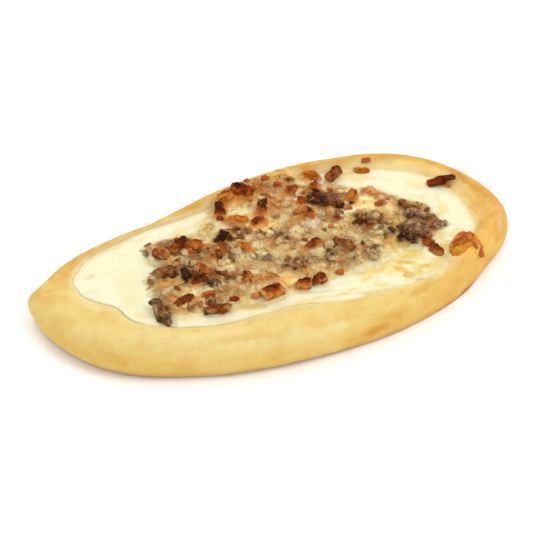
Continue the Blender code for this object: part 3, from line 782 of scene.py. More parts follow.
# ---- the heights that pieces are laid on -------------------------------------------------------------------
class Ground:
    """The upper surface of a set of pieces, as a grid of heights."""

    STEP = 0.5
    X0, X1, Y0, Y1 = -122.0, 122.0, -63.0, 63.0

    def __init__(self):
        self.nx = int((self.X1 - self.X0) / self.STEP) + 1
        self.ny = int((self.Y1 - self.Y0) / self.STEP) + 1
        self.z = np.zeros((self.nx, self.ny))

    def add(self, tree):
        down = Vector((0, 0, -1))
        for i in range(self.nx):
            x = (self.X0 + i * self.STEP) * MM
            for j in range(self.ny):
                hit = tree.ray_cast(Vector((x, (self.Y0 + j * self.STEP) * MM, 0.06)), down)[0]
                if hit is not None and hit.z / MM > self.z[i, j]:
                    self.z[i, j] = hit.z / MM

    def at(self, xy):
        xy = np.atleast_2d(xy)
        u = np.clip((xy[:, 0] - self.X0) / self.STEP, 0, self.nx - 1.001)
        w = np.clip((xy[:, 1] - self.Y0) / self.STEP, 0, self.ny - 1.001)
        i, j = u.astype(int), w.astype(int)
        a, b = u - i, w - j
        z = self.z
        return z[i, j] * (1 - a) * (1 - b) + z[i + 1, j] * a * (1 - b) + z[i, j + 1] * (1 - a) * b + z[i + 1, j + 1] * a * b


def land(px, py, ground, lift=0.0):
    """Where the view through a pixel meets the ground, in the row frame."""
    d = view_ray(px, py)
    z = 24.0
    for _ in range(12):
        p = EYE + d * (z - EYE[2]) / d[2]
        z = 0.5 * z + 0.5 * (ground.at(p[None, :2])[0] + lift)
    return p


# ---- melted cheese, and what it holds ------------------------------------------------------------------------
def pixels(p):
    """Where points of the row frame lie in the photograph's frame."""
    q = np.asarray(p, float) - EYE
    z = -(q @ BACK)
    return np.column_stack([270.0 + FOCAL_PX * (q @ RIGHT) / z, 270.0 - FOCAL_PX * (q @ UP) / z])


def land_all(px, ground, lowest=0.0):
    """The same as land() for many pixels at once. What would fall behind the far rim stays at the lowest height."""
    d = -BACK * FOCAL_PX + RIGHT * (px[:, :1] - 270.0) + UP * (270.0 - px[:, 1:])
    z = np.full(len(px), 24.0)
    for _ in range(12):
        p = EYE + d * ((z - EYE[2]) / d[:, 2])[:, None]
        z = np.maximum(0.5 * z + 0.5 * ground.at(p[:, :2]), lowest)
    return p


# Outline of the heap, as pixels of the photograph's frame.
HEAP = (
    (140, 249), (145, 240), (170, 233), (190, 229), (203, 217), (208, 203), (214, 194), (235, 182), (262, 171), (283, 168),
    (302, 174), (322, 183), (345, 182), (366, 184), (388, 191), (412, 195), (432, 205), (446, 218), (446, 229), (436, 240),
    (418, 248), (398, 255), (372, 266), (342, 276), (312, 287), (284, 296), (247, 305), (215, 312), (182, 321), (160, 317),
    (150, 303), (145, 290), (144, 274), (156, 268), (157, 261), (143, 258),
)
# Patches of the melted layer: centre, half-widths and turn in the photograph's frame, colour, how much of it, and how
# much it rises in millimetres.
CHEESE = {
    "ivory": rgb(253, 240, 182),
    "pale": rgb(234, 198, 124),
    "grey": rgb(200, 158, 102),
    "green": rgb(220, 190, 116),
    "yellow": rgb(234, 184, 68),
    "gold": rgb(212, 128, 30),
    "tan": rgb(176, 118, 54),
    "toast": rgb(190, 84, 18),
    "pink": rgb(214, 134, 84),
    "brown": rgb(120, 66, 24),
    "russet": rgb(116, 48, 14),
    "dark": rgb(52, 28, 12),
    "white": rgb(252, 244, 216),
}
PATCHES = (
    (172, 250, 22, 9, -5, "brown", 0.40, 0.0), (362, 222, 15, 9, -10, "brown", 0.50, 0.0), (322, 197, 30, 9, 8, "brown", 0.50, 0.0),
    (176, 306, 22, 12, 10, "tan", 0.60, 0.0), (218, 277, 24, 13, -5, "tan", 0.45, 0.0), (420, 216, 22, 15, 5, "tan", 0.45, 0.0),
    (246, 190, 36, 14, -22, "gold", 0.55, -0.3), (275, 203, 26, 10, -5, "gold", 0.45, 0.0), (345, 250, 34, 12, 0, "tan", 0.35, 0.0),
    (160, 280, 16, 10, 0, "tan", 0.35, 0.0), (330, 178, 22, 5, 10, "gold", 0.45, -0.3),
    (243, 211, 17, 5, -8, "ivory", 0.95, -1.2), (292, 197, 7, 3, -10, "ivory", 0.9, -0.9), (311, 226.5, 8.5, 6.0, -15, "white", 1.0, 1.5),
    (194, 226, 18, 7, -15, "ivory", 0.85, -1.3), (200, 223, 4, 2, 0, "gold", 0.9, 0.0), (182, 232, 9, 2.5, -10, "yellow", 0.4, 0.0),
    (225, 226, 14, 6, -10, "ivory", 0.7, -0.9), (208, 233, 9, 4, -10, "yellow", 0.5, -0.5), (152, 263, 8, 3, 0, "yellow", 0.8, -1.5),
    (165, 280, 10, 6, 0, "yellow", 0.6, 0.3), (157, 291, 10, 7, 0, "pink", 0.45, 0.2), (166, 291, 4, 4, 0, "pink", 0.9, 0.4),
    (252, 184, 40, 11, -20, "yellow", 0.45, -0.5), (222, 193, 10, 5, -30, "gold", 0.8, -0.4), (238, 184, 14, 4, -22, "gold", 0.7, -0.5), (272, 172, 20, 4, -8, "yellow", 0.8, -0.8),
    (300, 178, 12, 4, 15, "yellow", 0.6, -0.4), (238, 179, 5, 3, -20, "gold", 0.7, 0.0), (262, 187, 9, 4, -5, "gold", 0.8, 0.2), (275, 201, 5, 3, 0, "toast", 0.75, 0.3),
    (283, 206, 5, 3.5, 10, "gold", 0.85, 0.2), (248, 197, 9, 5, -10, "yellow", 0.6, 0.0), (234, 203, 7, 3, -10, "yellow", 0.6, 0.0),
    (298, 216, 5, 6, 30, "toast", 0.7, 0.3), (300, 224, 4, 6, 10, "gold", 0.8, 0.2), (255, 226, 5, 5, 0, "gold", 0.8, 0.2),
    (276, 177, 8, 3, -5, "gold", 0.5, 0.0), (280, 178, 3, 2, 0, "dark", 0.6, 0.2), (292, 181, 3, 2, 0, "dark", 0.6, 0.2),
    (283, 172, 12, 3, -8, "yellow", 0.5, 0.0), (266, 255, 13, 9, 5, "green", 0.85, 0.3), (262, 248, 8, 5, 0, "pale", 0.8, 0.2),
    (280, 229, 9, 6, 30, "grey", 0.8, 0.3), (284, 250, 8, 6, 0, "green", 0.7, 0.0), (297, 243, 4.5, 4.5, 0, "pink", 0.95, 0.5),
    (300, 255, 10, 5, -8, "green", 0.6, 0.0), (289, 281, 9, 6, -15, "yellow", 0.75, -0.2), (270, 284, 12, 3.5, -10, "yellow", 0.6, 0.0),
    (252, 305, 15, 3, -2, "yellow", 0.95, -0.6), (236, 288, 6, 3.5, -8, "gold", 0.95, 0.2), (246, 291, 7, 4, -8, "grey", 0.8, 0.0),
    (225, 285, 10, 4, -10, "green", 0.5, 0.0), (320, 266, 12, 4, -5, "green", 0.7, 0.0), (312, 271, 14, 4, -12, "yellow", 0.55, 0.0),
    (325, 231, 13, 7, -5, "green", 0.65, 0.2), (340, 232, 10, 6, 0, "pale", 0.6, 0.2), (330, 221, 5, 4, 0, "gold", 0.6, 0.2),
    (348, 208, 6, 4, 0, "gold", 0.75, 0.2), (336, 223, 4, 3, 0, "toast", 0.75, 0.3), (332, 211, 6, 3, 0, "pale", 0.6, 0.2),
    (370, 204, 13, 4, -5, "green", 0.75, 0.0), (385, 212, 12, 4, 0, "yellow", 0.4, 0.0), (355, 190, 9, 5, -5, "ivory", 0.8, -0.8),
    (372, 178, 12, 5, 0, "ivory", 0.95, -1.5), (396, 188, 10, 5, 10, "ivory", 0.95, -1.4), (333, 187, 8, 3, 0, "yellow", 0.45, -0.4),
    (380, 230, 6, 5, 0, "ivory", 0.75, 0.3), (395, 244, 14, 5, -5, "yellow", 0.6, -0.3), (408, 260, 6, 4, 0, "yellow", 0.9, 0.2),
    (380, 266, 6, 3, -10, "yellow", 0.8, 0.0), (392, 222, 7, 7, 0, "yellow", 0.45, 0.0), (357, 252, 8, 5, 0, "pale", 0.85, 0.2),
    (392, 205, 7, 4, 0, "pink", 0.5, 0.4), (420, 248, 10, 5, 15, "ivory", 0.7, -0.8), (440, 236, 8, 4, 10, "ivory", 0.6, -0.8),
    (435, 212, 6, 4, 0, "ivory", 0.6, -0.4), (203, 250, 8, 5, 0, "pale", 0.6, 0.2), (193, 257, 6, 5, 20, "gold", 0.45, 0.3),
    (213, 262, 9, 5, -10, "yellow", 0.4, 0.1), (228, 265, 12, 7, 0, "pale", 0.6, 0.2), (242, 263, 8, 7, 0, "pale", 0.6, 0.1),
    (222, 274, 8, 4, 0, "gold", 0.45, 0.1), (197, 289, 8, 4, 0, "pale", 0.85, 0.2), (211, 287, 12, 3, -5, "ivory", 0.8, 0.0),
    (186, 282, 6, 4, 0, "yellow", 0.4, 0.2), (196, 311, 9, 3, 0, "pink", 0.5, 0.2), (200, 305, 10, 5, 5, "grey", 0.5, 0.1),
    (177, 310, 9, 5, 10, "grey", 0.6, 0.1), (270, 212, 10, 6, 0, "pale", 0.7, 0.1), (286, 214, 7, 6, 10, "green", 0.7, 0.0),
    (299, 208, 4, 3, 0, "pink", 0.5, 0.2), (320, 214, 8, 4, 0, "pale", 0.6, 0.2), (313, 236, 9, 4, -10, "green", 0.7, 0.2),
    # browned between the pieces
    (202, 256, 16, 8, -10, "brown", 0.80, 0.0), (225, 257, 13, 7, -8, "brown", 0.95, 0.0), (152, 294, 7, 8, 0, "brown", 0.55, 0.0), (218, 307, 15, 5, -6, "tan", 0.75, 0.0), (178, 247, 16, 7, -5, "russet", 0.65, 0.0), (174, 271, 18, 5, -10, "russet", 0.65, 0.1),
    (200, 272, 14, 6, 10, "russet", 0.45, 0.1), (152, 293, 8, 8, 0, "tan", 0.70, 0.0), (172, 294, 14, 6, 0, "tan", 0.75, 0.1), (224, 295, 16, 5, -8, "tan", 0.60, 0.0),
    (272, 266, 14, 8, -8, "tan", 0.45, 0.0), (272, 210, 12, 7, 0, "toast", 0.45, 0.1), (224, 236, 12, 6, -10, "brown", 0.45, 0.0), (322, 197, 16, 7, 8, "russet", 0.80, 0.1),
    (344, 198, 11, 4, 8, "russet", 0.55, 0.0), (368, 229, 12, 6, 10, "brown", 0.40, 0.0), (388, 224, 9, 4, 10, "brown", 0.30, 0.0), (344, 247, 16, 8, 10, "russet", 0.35, 0.0),
    (250, 306, 14, 3, 0, "yellow", 0.5, 0.0), (178, 235, 10, 3, -8, "yellow", 0.6, -0.2), (202, 224, 10, 4, -12, "yellow", 0.35, 0.0), (262, 190, 16, 7, -10, "toast", 0.40, 0.1),
    (248, 186, 16, 5, -22, "toast", 0.35, 0.1), (288, 186, 10, 5, 10, "toast", 0.35, 0.1), (320, 183, 14, 4, 6, "gold", 0.50, 0.0),
    # pale soft lumps that stand out of it
    (318, 238, 8, 5, 0, "ivory", 0.75, 0.7), (328, 229, 6, 4, 10, "ivory", 0.70, 0.6), (296, 232, 6, 4, 0, "ivory", 0.65, 0.5), (274, 234, 6, 4, 0, "ivory", 0.55, 0.5),
    (344, 209, 8, 4, 0, "ivory", 0.65, 0.4), (366, 199, 9, 4, 5, "ivory", 0.65, 0.2), (294, 198, 8, 4, -10, "white", 0.85, -0.4), (247, 200, 8, 4, -10, "ivory", 0.60, 0.2),
    (226, 199, 7, 4, -10, "ivory", 0.45, 0.0), (272, 282, 10, 4, -8, "ivory", 0.50, 0.0), (258, 249, 7, 5, 0, "ivory", 0.60, 0.6), (306, 209, 5, 3, 0, "ivory", 0.60, 0.5),
    (284, 222, 6, 5, 0, "ivory", 0.50, 0.5), (312, 226.5, 8, 5.5, -15, "white", 0.9, 0.3), (240, 256, 5, 4, 0, "ivory", 0.55, 0.5), (322, 216, 5, 3, 0, "ivory", 0.6, 0.4),
    (355, 257, 8, 4, 0, "ivory", 0.60, 0.4), (336, 235, 5, 4, 0, "ivory", 0.55, 0.5), (300, 247, 6, 4, 0, "ivory", 0.45, 0.4), (210, 290, 9, 3, 0, "ivory", 0.55, 0.2),
    (345, 212, 10, 5, 0, "ivory", 0.75, 0.2), (368, 208, 13, 5, 0, "pale", 0.80, 0.2), (367, 199, 9, 4, 5, "ivory", 0.50, 0.0), (392, 210, 9, 5, 0, "pale", 0.80, 0.1), (395, 237, 7, 4, 0, "pale", 0.8, 0.1),
    (250, 223, 9, 5, 0, "pale", 0.80, 0.1), (272, 229, 9, 8, 0, "pale", 0.90, 0.2), (297, 235, 9, 6, 0, "pale", 0.90, 0.2), (320, 236, 10, 6, 0, "pale", 0.70, 0.1), (344, 236, 8, 4, 0, "pale", 0.60, 0.1),
    (177, 259, 9, 4, 0, "pale", 0.75, 0.1), (226, 271, 9, 5, 0, "ivory", 0.60, 0.3), (226, 283, 8, 4, 0, "pale", 0.60, 0.1), (272, 283, 9, 4, -8, "ivory", 0.40, 0.0), (298, 280, 8, 4, -10, "pale", 0.70, 0.0),
    (178, 306, 7, 4, 0, "pale", 0.80, 0.1), (200, 293, 9, 4, 0, "ivory", 0.50, 0.2), (318, 268, 10, 3, -5, "ivory", 0.50, 0.0), (344, 259, 8, 3, 0, "pale", 0.70, 0.0),
    (345, 211, 10, 5, 0, "ivory", 0.60, 0.1), (369, 210, 9, 4, 0, "ivory", 0.40, 0.0), (392, 211, 8, 4, 0, "ivory", 0.50, 0.0), (248, 221, 8, 5, 0, "ivory", 0.60, 0.1),
    (296, 234, 8, 5, 0, "ivory", 0.50, 0.1), (272, 233, 8, 4, 0, "ivory", 0.50, 0.1), (177, 306, 6, 4, 0, "ivory", 0.50, 0.0), (296, 198, 6, 4, 0, "ivory", 0.45, 0.0),
    (368, 198, 7, 4, 0, "ivory", 0.40, 0.0), (224, 270, 7, 4, 0, "ivory", 0.30, 0.0), (296, 281, 7, 3, -10, "ivory", 0.40, 0.0), (272, 258, 7, 4, 0, "ivory", 0.40, 0.0),
    (296, 258, 6, 4, 0, "ivory", 0.40, 0.0), (226, 199, 6, 3, -30, "pale", 0.50, 0.0), (152, 294, 6, 5, 0, "brown", 0.55, 0.0), (296, 246, 7, 4, 0, "tan", 0.60, 0.0),
    (368, 235, 8, 4, 10, "tan", 0.60, 0.0), (296, 222, 8, 4, 0, "yellow", 0.40, 0.0), (295, 221, 9, 5, 0, "gold", 0.35, 0.0),
)
# Softly lighter and darker areas of it, painted light and shade: centre, half-widths, how much.
PAINTED_LIGHT_AND_SHADE = (
    (171, 254, 14, 9, 0.36), (205, 246, 11, 6, 0.18), (247, 246, 12, 7, 0.24), (260, 227, 20, 10, 0.50), (290, 281, 26, 6, 0.26),
    (188, 306, 22, 12, 0.60), (344, 211, 10, 6, 0.36), (248, 224, 9, 6, 0.30), (366, 206, 32, 9, 0.26), (343, 211, 11, 6, 0.45), (228, 202, 13, 9, 0.38), (296, 199, 10, 7, 0.40),
    (296, 174, 14, 5, 0.38), (224, 274, 12, 9, 0.34), (344, 247, 12, 6, 0.28), (330, 271, 22, 5, 0.16), (416, 209, 12, 6, 0.24),
    (368, 235, 12, 6, -0.28), (152, 294, 9, 7, -0.50), (224, 258, 12, 6, -0.38), (248, 284, 10, 6, -0.14), (414, 247, 12, 5, 0.15),
    (151, 247, 9, 5, 0.25), (268, 283, 12, 5, 0.20), (296, 233, 10, 6, 0.12),
)
PATCH_STEP = 0.47  # spacing of the layer's grid


def outline_distance(xy, poly):
    """Distance to a closed outline, positive inside."""
    a = np.asarray(poly, float)
    b = np.roll(a, -1, 0)
    best = np.full(len(xy), 1e9)
    inside = np.zeros(len(xy), bool)
    for p, q in zip(a, b):
        e = q - p
        t = np.clip(((xy - p) @ e) / (e @ e), 0, 1)
        best = np.minimum(best, np.hypot(*(xy - p - t[:, None] * e).T))
        crosses = (p[1] > xy[:, 1]) != (q[1] > xy[:, 1])
        with np.errstate(divide="ignore", invalid="ignore"):
            xc = p[0] + (xy[:, 1] - p[1]) * (q[0] - p[0]) / (q[1] - p[1])
        inside ^= crosses & (xy[:, 0] < xc)
    return np.where(inside, best, -best)


def node_frame(obj):
    """Centre, three axes (along, across, up) and half sizes of a CAD node, in millimetres."""
    v = np.zeros(len(obj.data.vertices) * 3, np.float32)
    obj.data.vertices.foreach_get("co", v)
    v = v.reshape(-1, 3).astype(float) / MM
    c = (v.min(0) + v.max(0)) / 2
    w, axes = np.linalg.eigh(np.cov((v - c).T))
    long = axes[:, 2]
    if long[0] < 0:
        long = -long
    up = np.array([0, 0, 1.0])
    up = up - (up @ long) * long
    up /= np.linalg.norm(up)
    across = np.cross(up, long)
    basis = np.stack([long, across, up])
    local = (v - c) @ basis.T
    mid = (local.min(0) + local.max(0)) / 2
    c = c + mid @ basis
    half = (local.max(0) - local.min(0)) / 2
    return c, basis, half


def blur(grid, cells_wide):
    """A box blur of a grid of heights, twice over."""
    for _ in range(2):
        for axis in (0, 1):
            total = sum(np.roll(grid, k, axis) for k in range(-cells_wide, cells_wide + 1))
            grid = total / (2 * cells_wide + 1)
    return grid


def build_cheese(mat, ground, solid, pieces):
    """The melted layer: a fine relief over the cream that climbs a little up every piece it holds."""
    heap = land_all(np.array(HEAP, float), ground, 21.0)[:, :2]
    low, high = heap.min(0) - 6, heap.max(0) + 6
    nx, ny = int((high[0] - low[0]) / PATCH_STEP) + 1, int((high[1] - low[1]) / PATCH_STEP) + 1
    gx, gy = np.meshgrid(low[0] + PATCH_STEP * np.arange(nx), low[1] + PATCH_STEP * np.arange(ny), indexing="ij")
    xy = np.column_stack([gx.ravel(), gy.ravel()])
    base = ground.at(xy)
    px = pixels(np.column_stack([xy, base + 1.5]))
    ragged = 2.6 * fbm(xy, 9, 3, 101) + 1.3 * fbm(xy, 3.2, 2, 103)
    depth = outline_distance(xy, heap) + ragged
    # over the far rim it ends on the crest's outer shoulder
    shoulder = outline_distance(xy, edge(np.linspace(0, 2 * np.pi, 121)[:-1]))
    depth = np.minimum(depth, 1.7 * (shoulder - 2.3) + 0.35 * ragged)
    grow = step(depth, 0.5, 6.5)
    warp = np.column_stack([noise(xy, 6.0, 105), noise(xy, 6.0, 107)]) * 1.5
    warp = warp + np.column_stack([noise(xy, 2.2, 106), noise(xy, 2.2, 108)]) * 0.55
    f1, f2, ident = cells(xy + warp, 2.5, 109)
    g1, g2, gid = cells(xy + 1.2 * warp, 4.8, 115)
    crumb = np.clip(1 - (f1 / 0.8) ** 2, 0, 1)
    lump = np.clip(1 - (g1 / 0.85) ** 2, 0, 1)
    busy = step(fbm(xy, 8.0, 2, 117), -0.35, 0.5)
    colour = np.broadcast_to(CHEESE["pale"], (len(xy), 3)).copy()
    tone = fbm(xy, 12, 3, 121)
    colour = mix(colour, CHEESE["green"], step(tone, -0.1, 0.5) * 0.75)
    colour = mix(colour, CHEESE["grey"], step(-tone, -0.1, 0.5) * 0.75)
    colour = mix(colour, CHEESE["ivory"], 0.55 * step(gid, 0.60, 0.62) * step(gid, 0.76, 0.74) * step(lump, 0.1, 0.6))
    colour = mix(colour, CHEESE["pink"], 0.45 * step(gid, 0.40, 0.42) * step(gid, 0.54, 0.52) * step(lump, 0.1, 0.6))
    colour = mix(colour, CHEESE["gold"], 0.50 * step(gid, 0.16, 0.14) * step(lump, 0.1, 0.6))
    colour = mix(colour, CHEESE["ivory"], 0.40 * step(ident, 0.72, 0.74) * step(crumb, 0.1, 0.5))
    mottle = fbm(xy + 0.4 * warp, 5.5, 3, 119)
    colour = mix(colour, CHEESE["tan"], 0.52 * step(mottle, -0.10, 0.50) * grow)
    colour = mix(colour, CHEESE["ivory"], 0.60 * step(-mottle, 0.05, 0.6) * grow)
    # chopped bits half sunk in it, and painted shade: browner crevices between the lumps
    chop = fbm(xy + 0.5 * warp, 3.1, 3, 123) + 0.25 * noise(xy, 1.2, 125)
    chopped = step(chop, 0.22, 0.45) * busy * grow
    colour = mix(colour, CHEESE["brown"], 0.50 * chopped)
    colour = mix(colour, CHEESE["dark"], 0.45 * step(chop, 0.55, 0.85) * busy * grow)
    crevice_shade = step(g2 - g1, 0.26, 0.02) * step(noise(xy, 5.0, 127), -0.4, 0.4)
    colour = mix(colour, CHEESE["brown"], 0.45 * crevice_shade * grow)
    colour = mix(colour, CHEESE["brown"], 0.32 * step(f2 - f1, 0.20, 0.02) * busy * grow)
    # browned spots
    spot = fbm(xy + 0.8 * warp, 6.5, 2, 153)
    colour = mix(colour, CHEESE["gold"], 0.50 * step(spot, 0.22, 0.55) * grow)
    rise = np.zeros(len(xy))
    smoothness = np.zeros(len(xy))
    for cx, cy, rx, ry, turn, key, much, up in PATCHES:
        a = math.radians(turn)
        dx, dy = px[:, 0] - cx, px[:, 1] - cy
        u = (dx * math.cos(a) + dy * math.sin(a)) / rx
        w = (-dx * math.sin(a) + dy * math.cos(a)) / ry
        wob = 0.35 * noise(xy, 3.0, 131 + int(cx)) + 0.2 * noise(xy, 1.2, 137 + int(cy))
        t = 1 - step(np.hypot(u, w) + wob, 0.55, 1.15)
        colour = mix(colour, CHEESE[key], much * t * (1.0 if key in ("ivory", "white", "russet", "toast") else 0.75))
        rise += up * t
        smoothness = np.maximum(smoothness, (0.8 if key in ("ivory", "white", "green", "yellow") else 0.3) * t)
    # masses of chopped mushroom
    mass = np.zeros(len(xy))
    crumble = np.abs(fbm(xy + 0.5 * warp, 2.4, 3, 155))
    specks = fbm(xy, 1.5, 2, 161)
    for zone in MUSHROOM_ZONES:
        cx, cy, rx, ry, turn, count, key = zone
        a = math.radians(turn)
        dx, dy = px[:, 0] - cx, px[:, 1] - cy
        u = (dx * math.cos(a) + dy * math.sin(a)) / (rx + 1.0)
        w = (-dx * math.sin(a) + dy * math.cos(a)) / (ry + 1.0)
        t = 1 - step(np.hypot(u, w) + 0.45 * noise(xy, 2.6, 157 + count), 0.55, 1.25)
        t = t * np.clip(0.25 + 0.12 * count * 60 / (60 + rx * ry), 0, 1)
        shade = rgb(*TONES[key]) * 0.85
        colour = mix(colour, shade, np.clip(0.80 * t * (0.35 + 0.55 * step(crumble, 0.04, 0.26)) * (1 - 0.7 * step(specks, 0.15, 0.5)), 0, 1))
        mass = np.maximum(mass, t)
    # dark specks all over
    colour = mix(colour, CHEESE["brown"], 0.45 * step(specks + 0.3 * mottle, 0.42, 0.72) * grow)
    # painted light and shade over areas of it
    for cx, cy, rx, ry, much in PAINTED_LIGHT_AND_SHADE:
        t = 1 - step(np.hypot((px[:, 0] - cx) / rx, (px[:, 1] - cy) / ry), 0.4, 1.35)
        colour = colour * (1 + much * t)[:, None]
    colour = np.clip(colour, 0, 0.78)
    rough = 1 - smoothness
    film = step(depth, -0.6, 1.6)
    slab = Ground()
    slab.add(solid)
    slab.z = blur(np.maximum(slab.z - ground.z, 0), 3)
    thick = 0.10 + np.maximum(0.9 * grow, (slab.at(xy) - 0.15) * step(depth, 0.0, 5.0)) + 0.25 * fbm(xy, 16, 2, 141) * grow
    relief = grow * rough * (0.55 * crumb * busy * (0.4 + ident) + 0.85 * lump * (0.3 + gid) - 0.35 + 0.30 * chopped)
    relief = relief + mass * (0.9 * crumble + 0.35 * noise(xy, 1.1, 159) - 0.1)
    relief = relief + (0.30 * fbm(xy, 2.2, 3, 143) + 0.12 * fbm(xy, 1.0, 2, 145)) * (0.35 + 0.65 * grow)
    # low toward its edge, where it blends into the cream
    body = step(depth, -0.4, 4.5)
    top = base + 0.10 + (thick - 0.10) * body + (relief + rise * grow) * (0.15 + 0.85 * body)
    # it thins to nothing at its edge, and dives under the cream there
    top = np.where(film < 1, base - 0.7 + (top - base + 0.7) * film, top)
    soft = np.maximum(step(px[:, 1], 205, 222), step(px[:, 0], 300, 345))
    oily = np.exp(-(((px[:, 0] - 249) / 22) ** 2) - ((px[:, 1] - 306) / 6) ** 2)  # yellow oil runs out there
    soft = soft * (1 - 0.85 * oily)
    blend = (1 - step(depth + 1.8 * noise(xy, 2.8, 147) + 0.8 * noise(xy, 1.2, 148), 0.2, 4.0)) * soft
    halo = (1 - step(depth + 1.5 * noise(xy, 4.0, 150), 1.0, 7.0)) * soft
    colour = mix(colour, rgb(238, 216, 140), 0.55 * halo)
    colour = mix(colour, rgb(252, 244, 200), 0.92 * blend)
    # it climbs the sides of the pieces
    climb = np.full(len(xy), -50.0)
    for c, basis, half, hold, is_bacon in pieces:
        near = np.hypot(xy[:, 0] - c[0], xy[:, 1] - c[1]) < half[0] + 5
        q = np.column_stack([xy[near] - c[:2], np.zeros(near.sum())])
        u, w = q @ basis[0] / half[0], q @ basis[1] / half[1]
        r = (np.abs(u) ** 3 + np.abs(w) ** 3) ** (1 / 3)
        out = (r - 1) * min(half[0], half[1]) + 0.35 * noise(xy[near], 2.0, 149)
        inside = step(depth[near], 0.0, 6.0)
        z = c[2] - half[2] * (1 - 2 * hold * (0.25 + 0.75 * inside)) + 0.35 * noise(xy[near], 3.0, 151) - 0.8 * (1 - inside)
        fall = step(out, -0.5, 2.0)
        zz = z * (1 - fall) + (top[near] - 0.3) * fall
        climb[near] = np.maximum(climb[near], np.where(fall < 1, zz, -50))
        far = 1 - step(px[near][:, 1], 215, 250)
        warm, toast_and_contact_shade = (CHEESE["gold"], CHEESE["toast"]) if is_bacon else (CHEESE["tan"], CHEESE["russet"])
        much = (0.50 + 0.30 * far) if is_bacon else 0.35
        much = much * (0.3 + 0.7 * inside)
        colour[near] = mix(colour[near], warm, much[:, None] * np.exp(-(((out - 0.3) / (1.1 + 0.6 * noise(xy[near], 3.5, 152))) ** 2))[:, None])
        # a darker ring right at its foot: toasted cheese, with painted contact shadow
        colour[near] = mix(colour[near], toast_and_contact_shade, (0.45 + 0.2 * far) * (0.4 + 0.6 * inside) * np.exp(-((np.clip(out, 0, None) / 0.5) ** 2)))
    soften = 0.35
    joined = np.where(climb > -10, np.maximum(top, climb) + np.exp(-np.abs(top - climb) / soften) * soften * 0.5, top)
    top = np.where(depth > -3, joined, top)
    keep = ((depth > -1.6) | (climb > base)) & (base > 12)
    bottom = np.minimum(top - 0.6, base - 1.2)
    obj = sheet("melted_cheese_look", xy, top, bottom, keep.reshape(nx, ny), colour)
    obj.data.materials.append(mat)
    return obj, Bed(low, nx, ny, colour)


class Bed:
    """The colours of the melted layer, for what is stuck in it."""

    def __init__(self, low, nx, ny, colour):
        self.low, self.nx, self.ny = low, nx, ny
        grid = colour.reshape(nx, ny, 3)
        self.grid = np.stack([blur(grid[..., k], 2) for k in range(3)], -1)

    def at(self, xy):
        i = np.clip(np.round((xy[:, 0] - self.low[0]) / PATCH_STEP).astype(int), 0, self.nx - 1)
        j = np.clip(np.round((xy[:, 1] - self.low[1]) / PATCH_STEP).astype(int), 0, self.ny - 1)
        return self.grid[i, j]


def sheet(name, xy, top, bottom, keep, colour):
    """A closed layer over the kept cells of a grid: its upper side, its underside and the walls between them."""
    nx, ny = keep.shape
    cell = keep[:-1, :-1] & keep[1:, :-1] & keep[:-1, 1:] & keep[1:, 1:]
    index = np.arange(nx * ny).reshape(nx, ny)
    quads = np.column_stack([index[:-1, :-1][cell], index[1:, :-1][cell], index[1:, 1:][cell], index[:-1, 1:][cell]])
    used = np.unique(quads)
    remap = np.full(nx * ny, -1)
    remap[used] = np.arange(len(used))
    quads = remap[quads]
    m = len(used)
    edges = np.concatenate([quads[:, [0, 1]], quads[:, [1, 2]], quads[:, [2, 3]], quads[:, [3, 0]]])
    code = edges[:, 0].astype(np.int64) * m + edges[:, 1]
    back = edges[:, 1].astype(np.int64) * m + edges[:, 0]
    rim = edges[~np.isin(code, back)]
    walls = np.column_stack([rim[:, 0], rim[:, 0] + m, rim[:, 1] + m, rim[:, 1]])
    verts = np.concatenate([np.column_stack([xy[used], top[used]]), np.column_stack([xy[used], bottom[used]])])
    faces = np.concatenate([quads, quads[:, ::-1] + m, walls])
    return make_object(name, verts, faces, np.concatenate([colour[used], colour[used]]))


# Cheese that melted onto the dough at the round end, and browned there: its outline in the photograph's frame.
ISLAND = (
    (447, 246), (450, 240), (456, 233), (463, 229), (471, 231), (478, 237), (483, 245), (486, 254), (483, 259), (478, 255),
    (473, 250), (467, 252), (460, 257), (452, 257), (448, 252),
)
ISLAND_PATCHES = (
    (457, 248, 7, 4, -20, "yellow", 0.6), (467, 247, 7, 4, 0, "gold", 0.6), (465, 235, 11, 6, 10, "toast", 0.9), (455, 240, 6, 4, -30, "gold", 0.8),
    (480, 249, 5, 8, -25, "pink", 0.85), (473, 241, 6, 4, 30, "gold", 0.8), (451, 252, 4, 3, 0, "toast", 0.45), (463, 252, 5, 2, -20, "toast", 0.4),
    (481, 252, 2, 5, -25, "toast", 0.5), (460, 241, 3, 2, 0, "toast", 0.4), (469, 248, 3, 2, 0, "toast", 0.35),
)


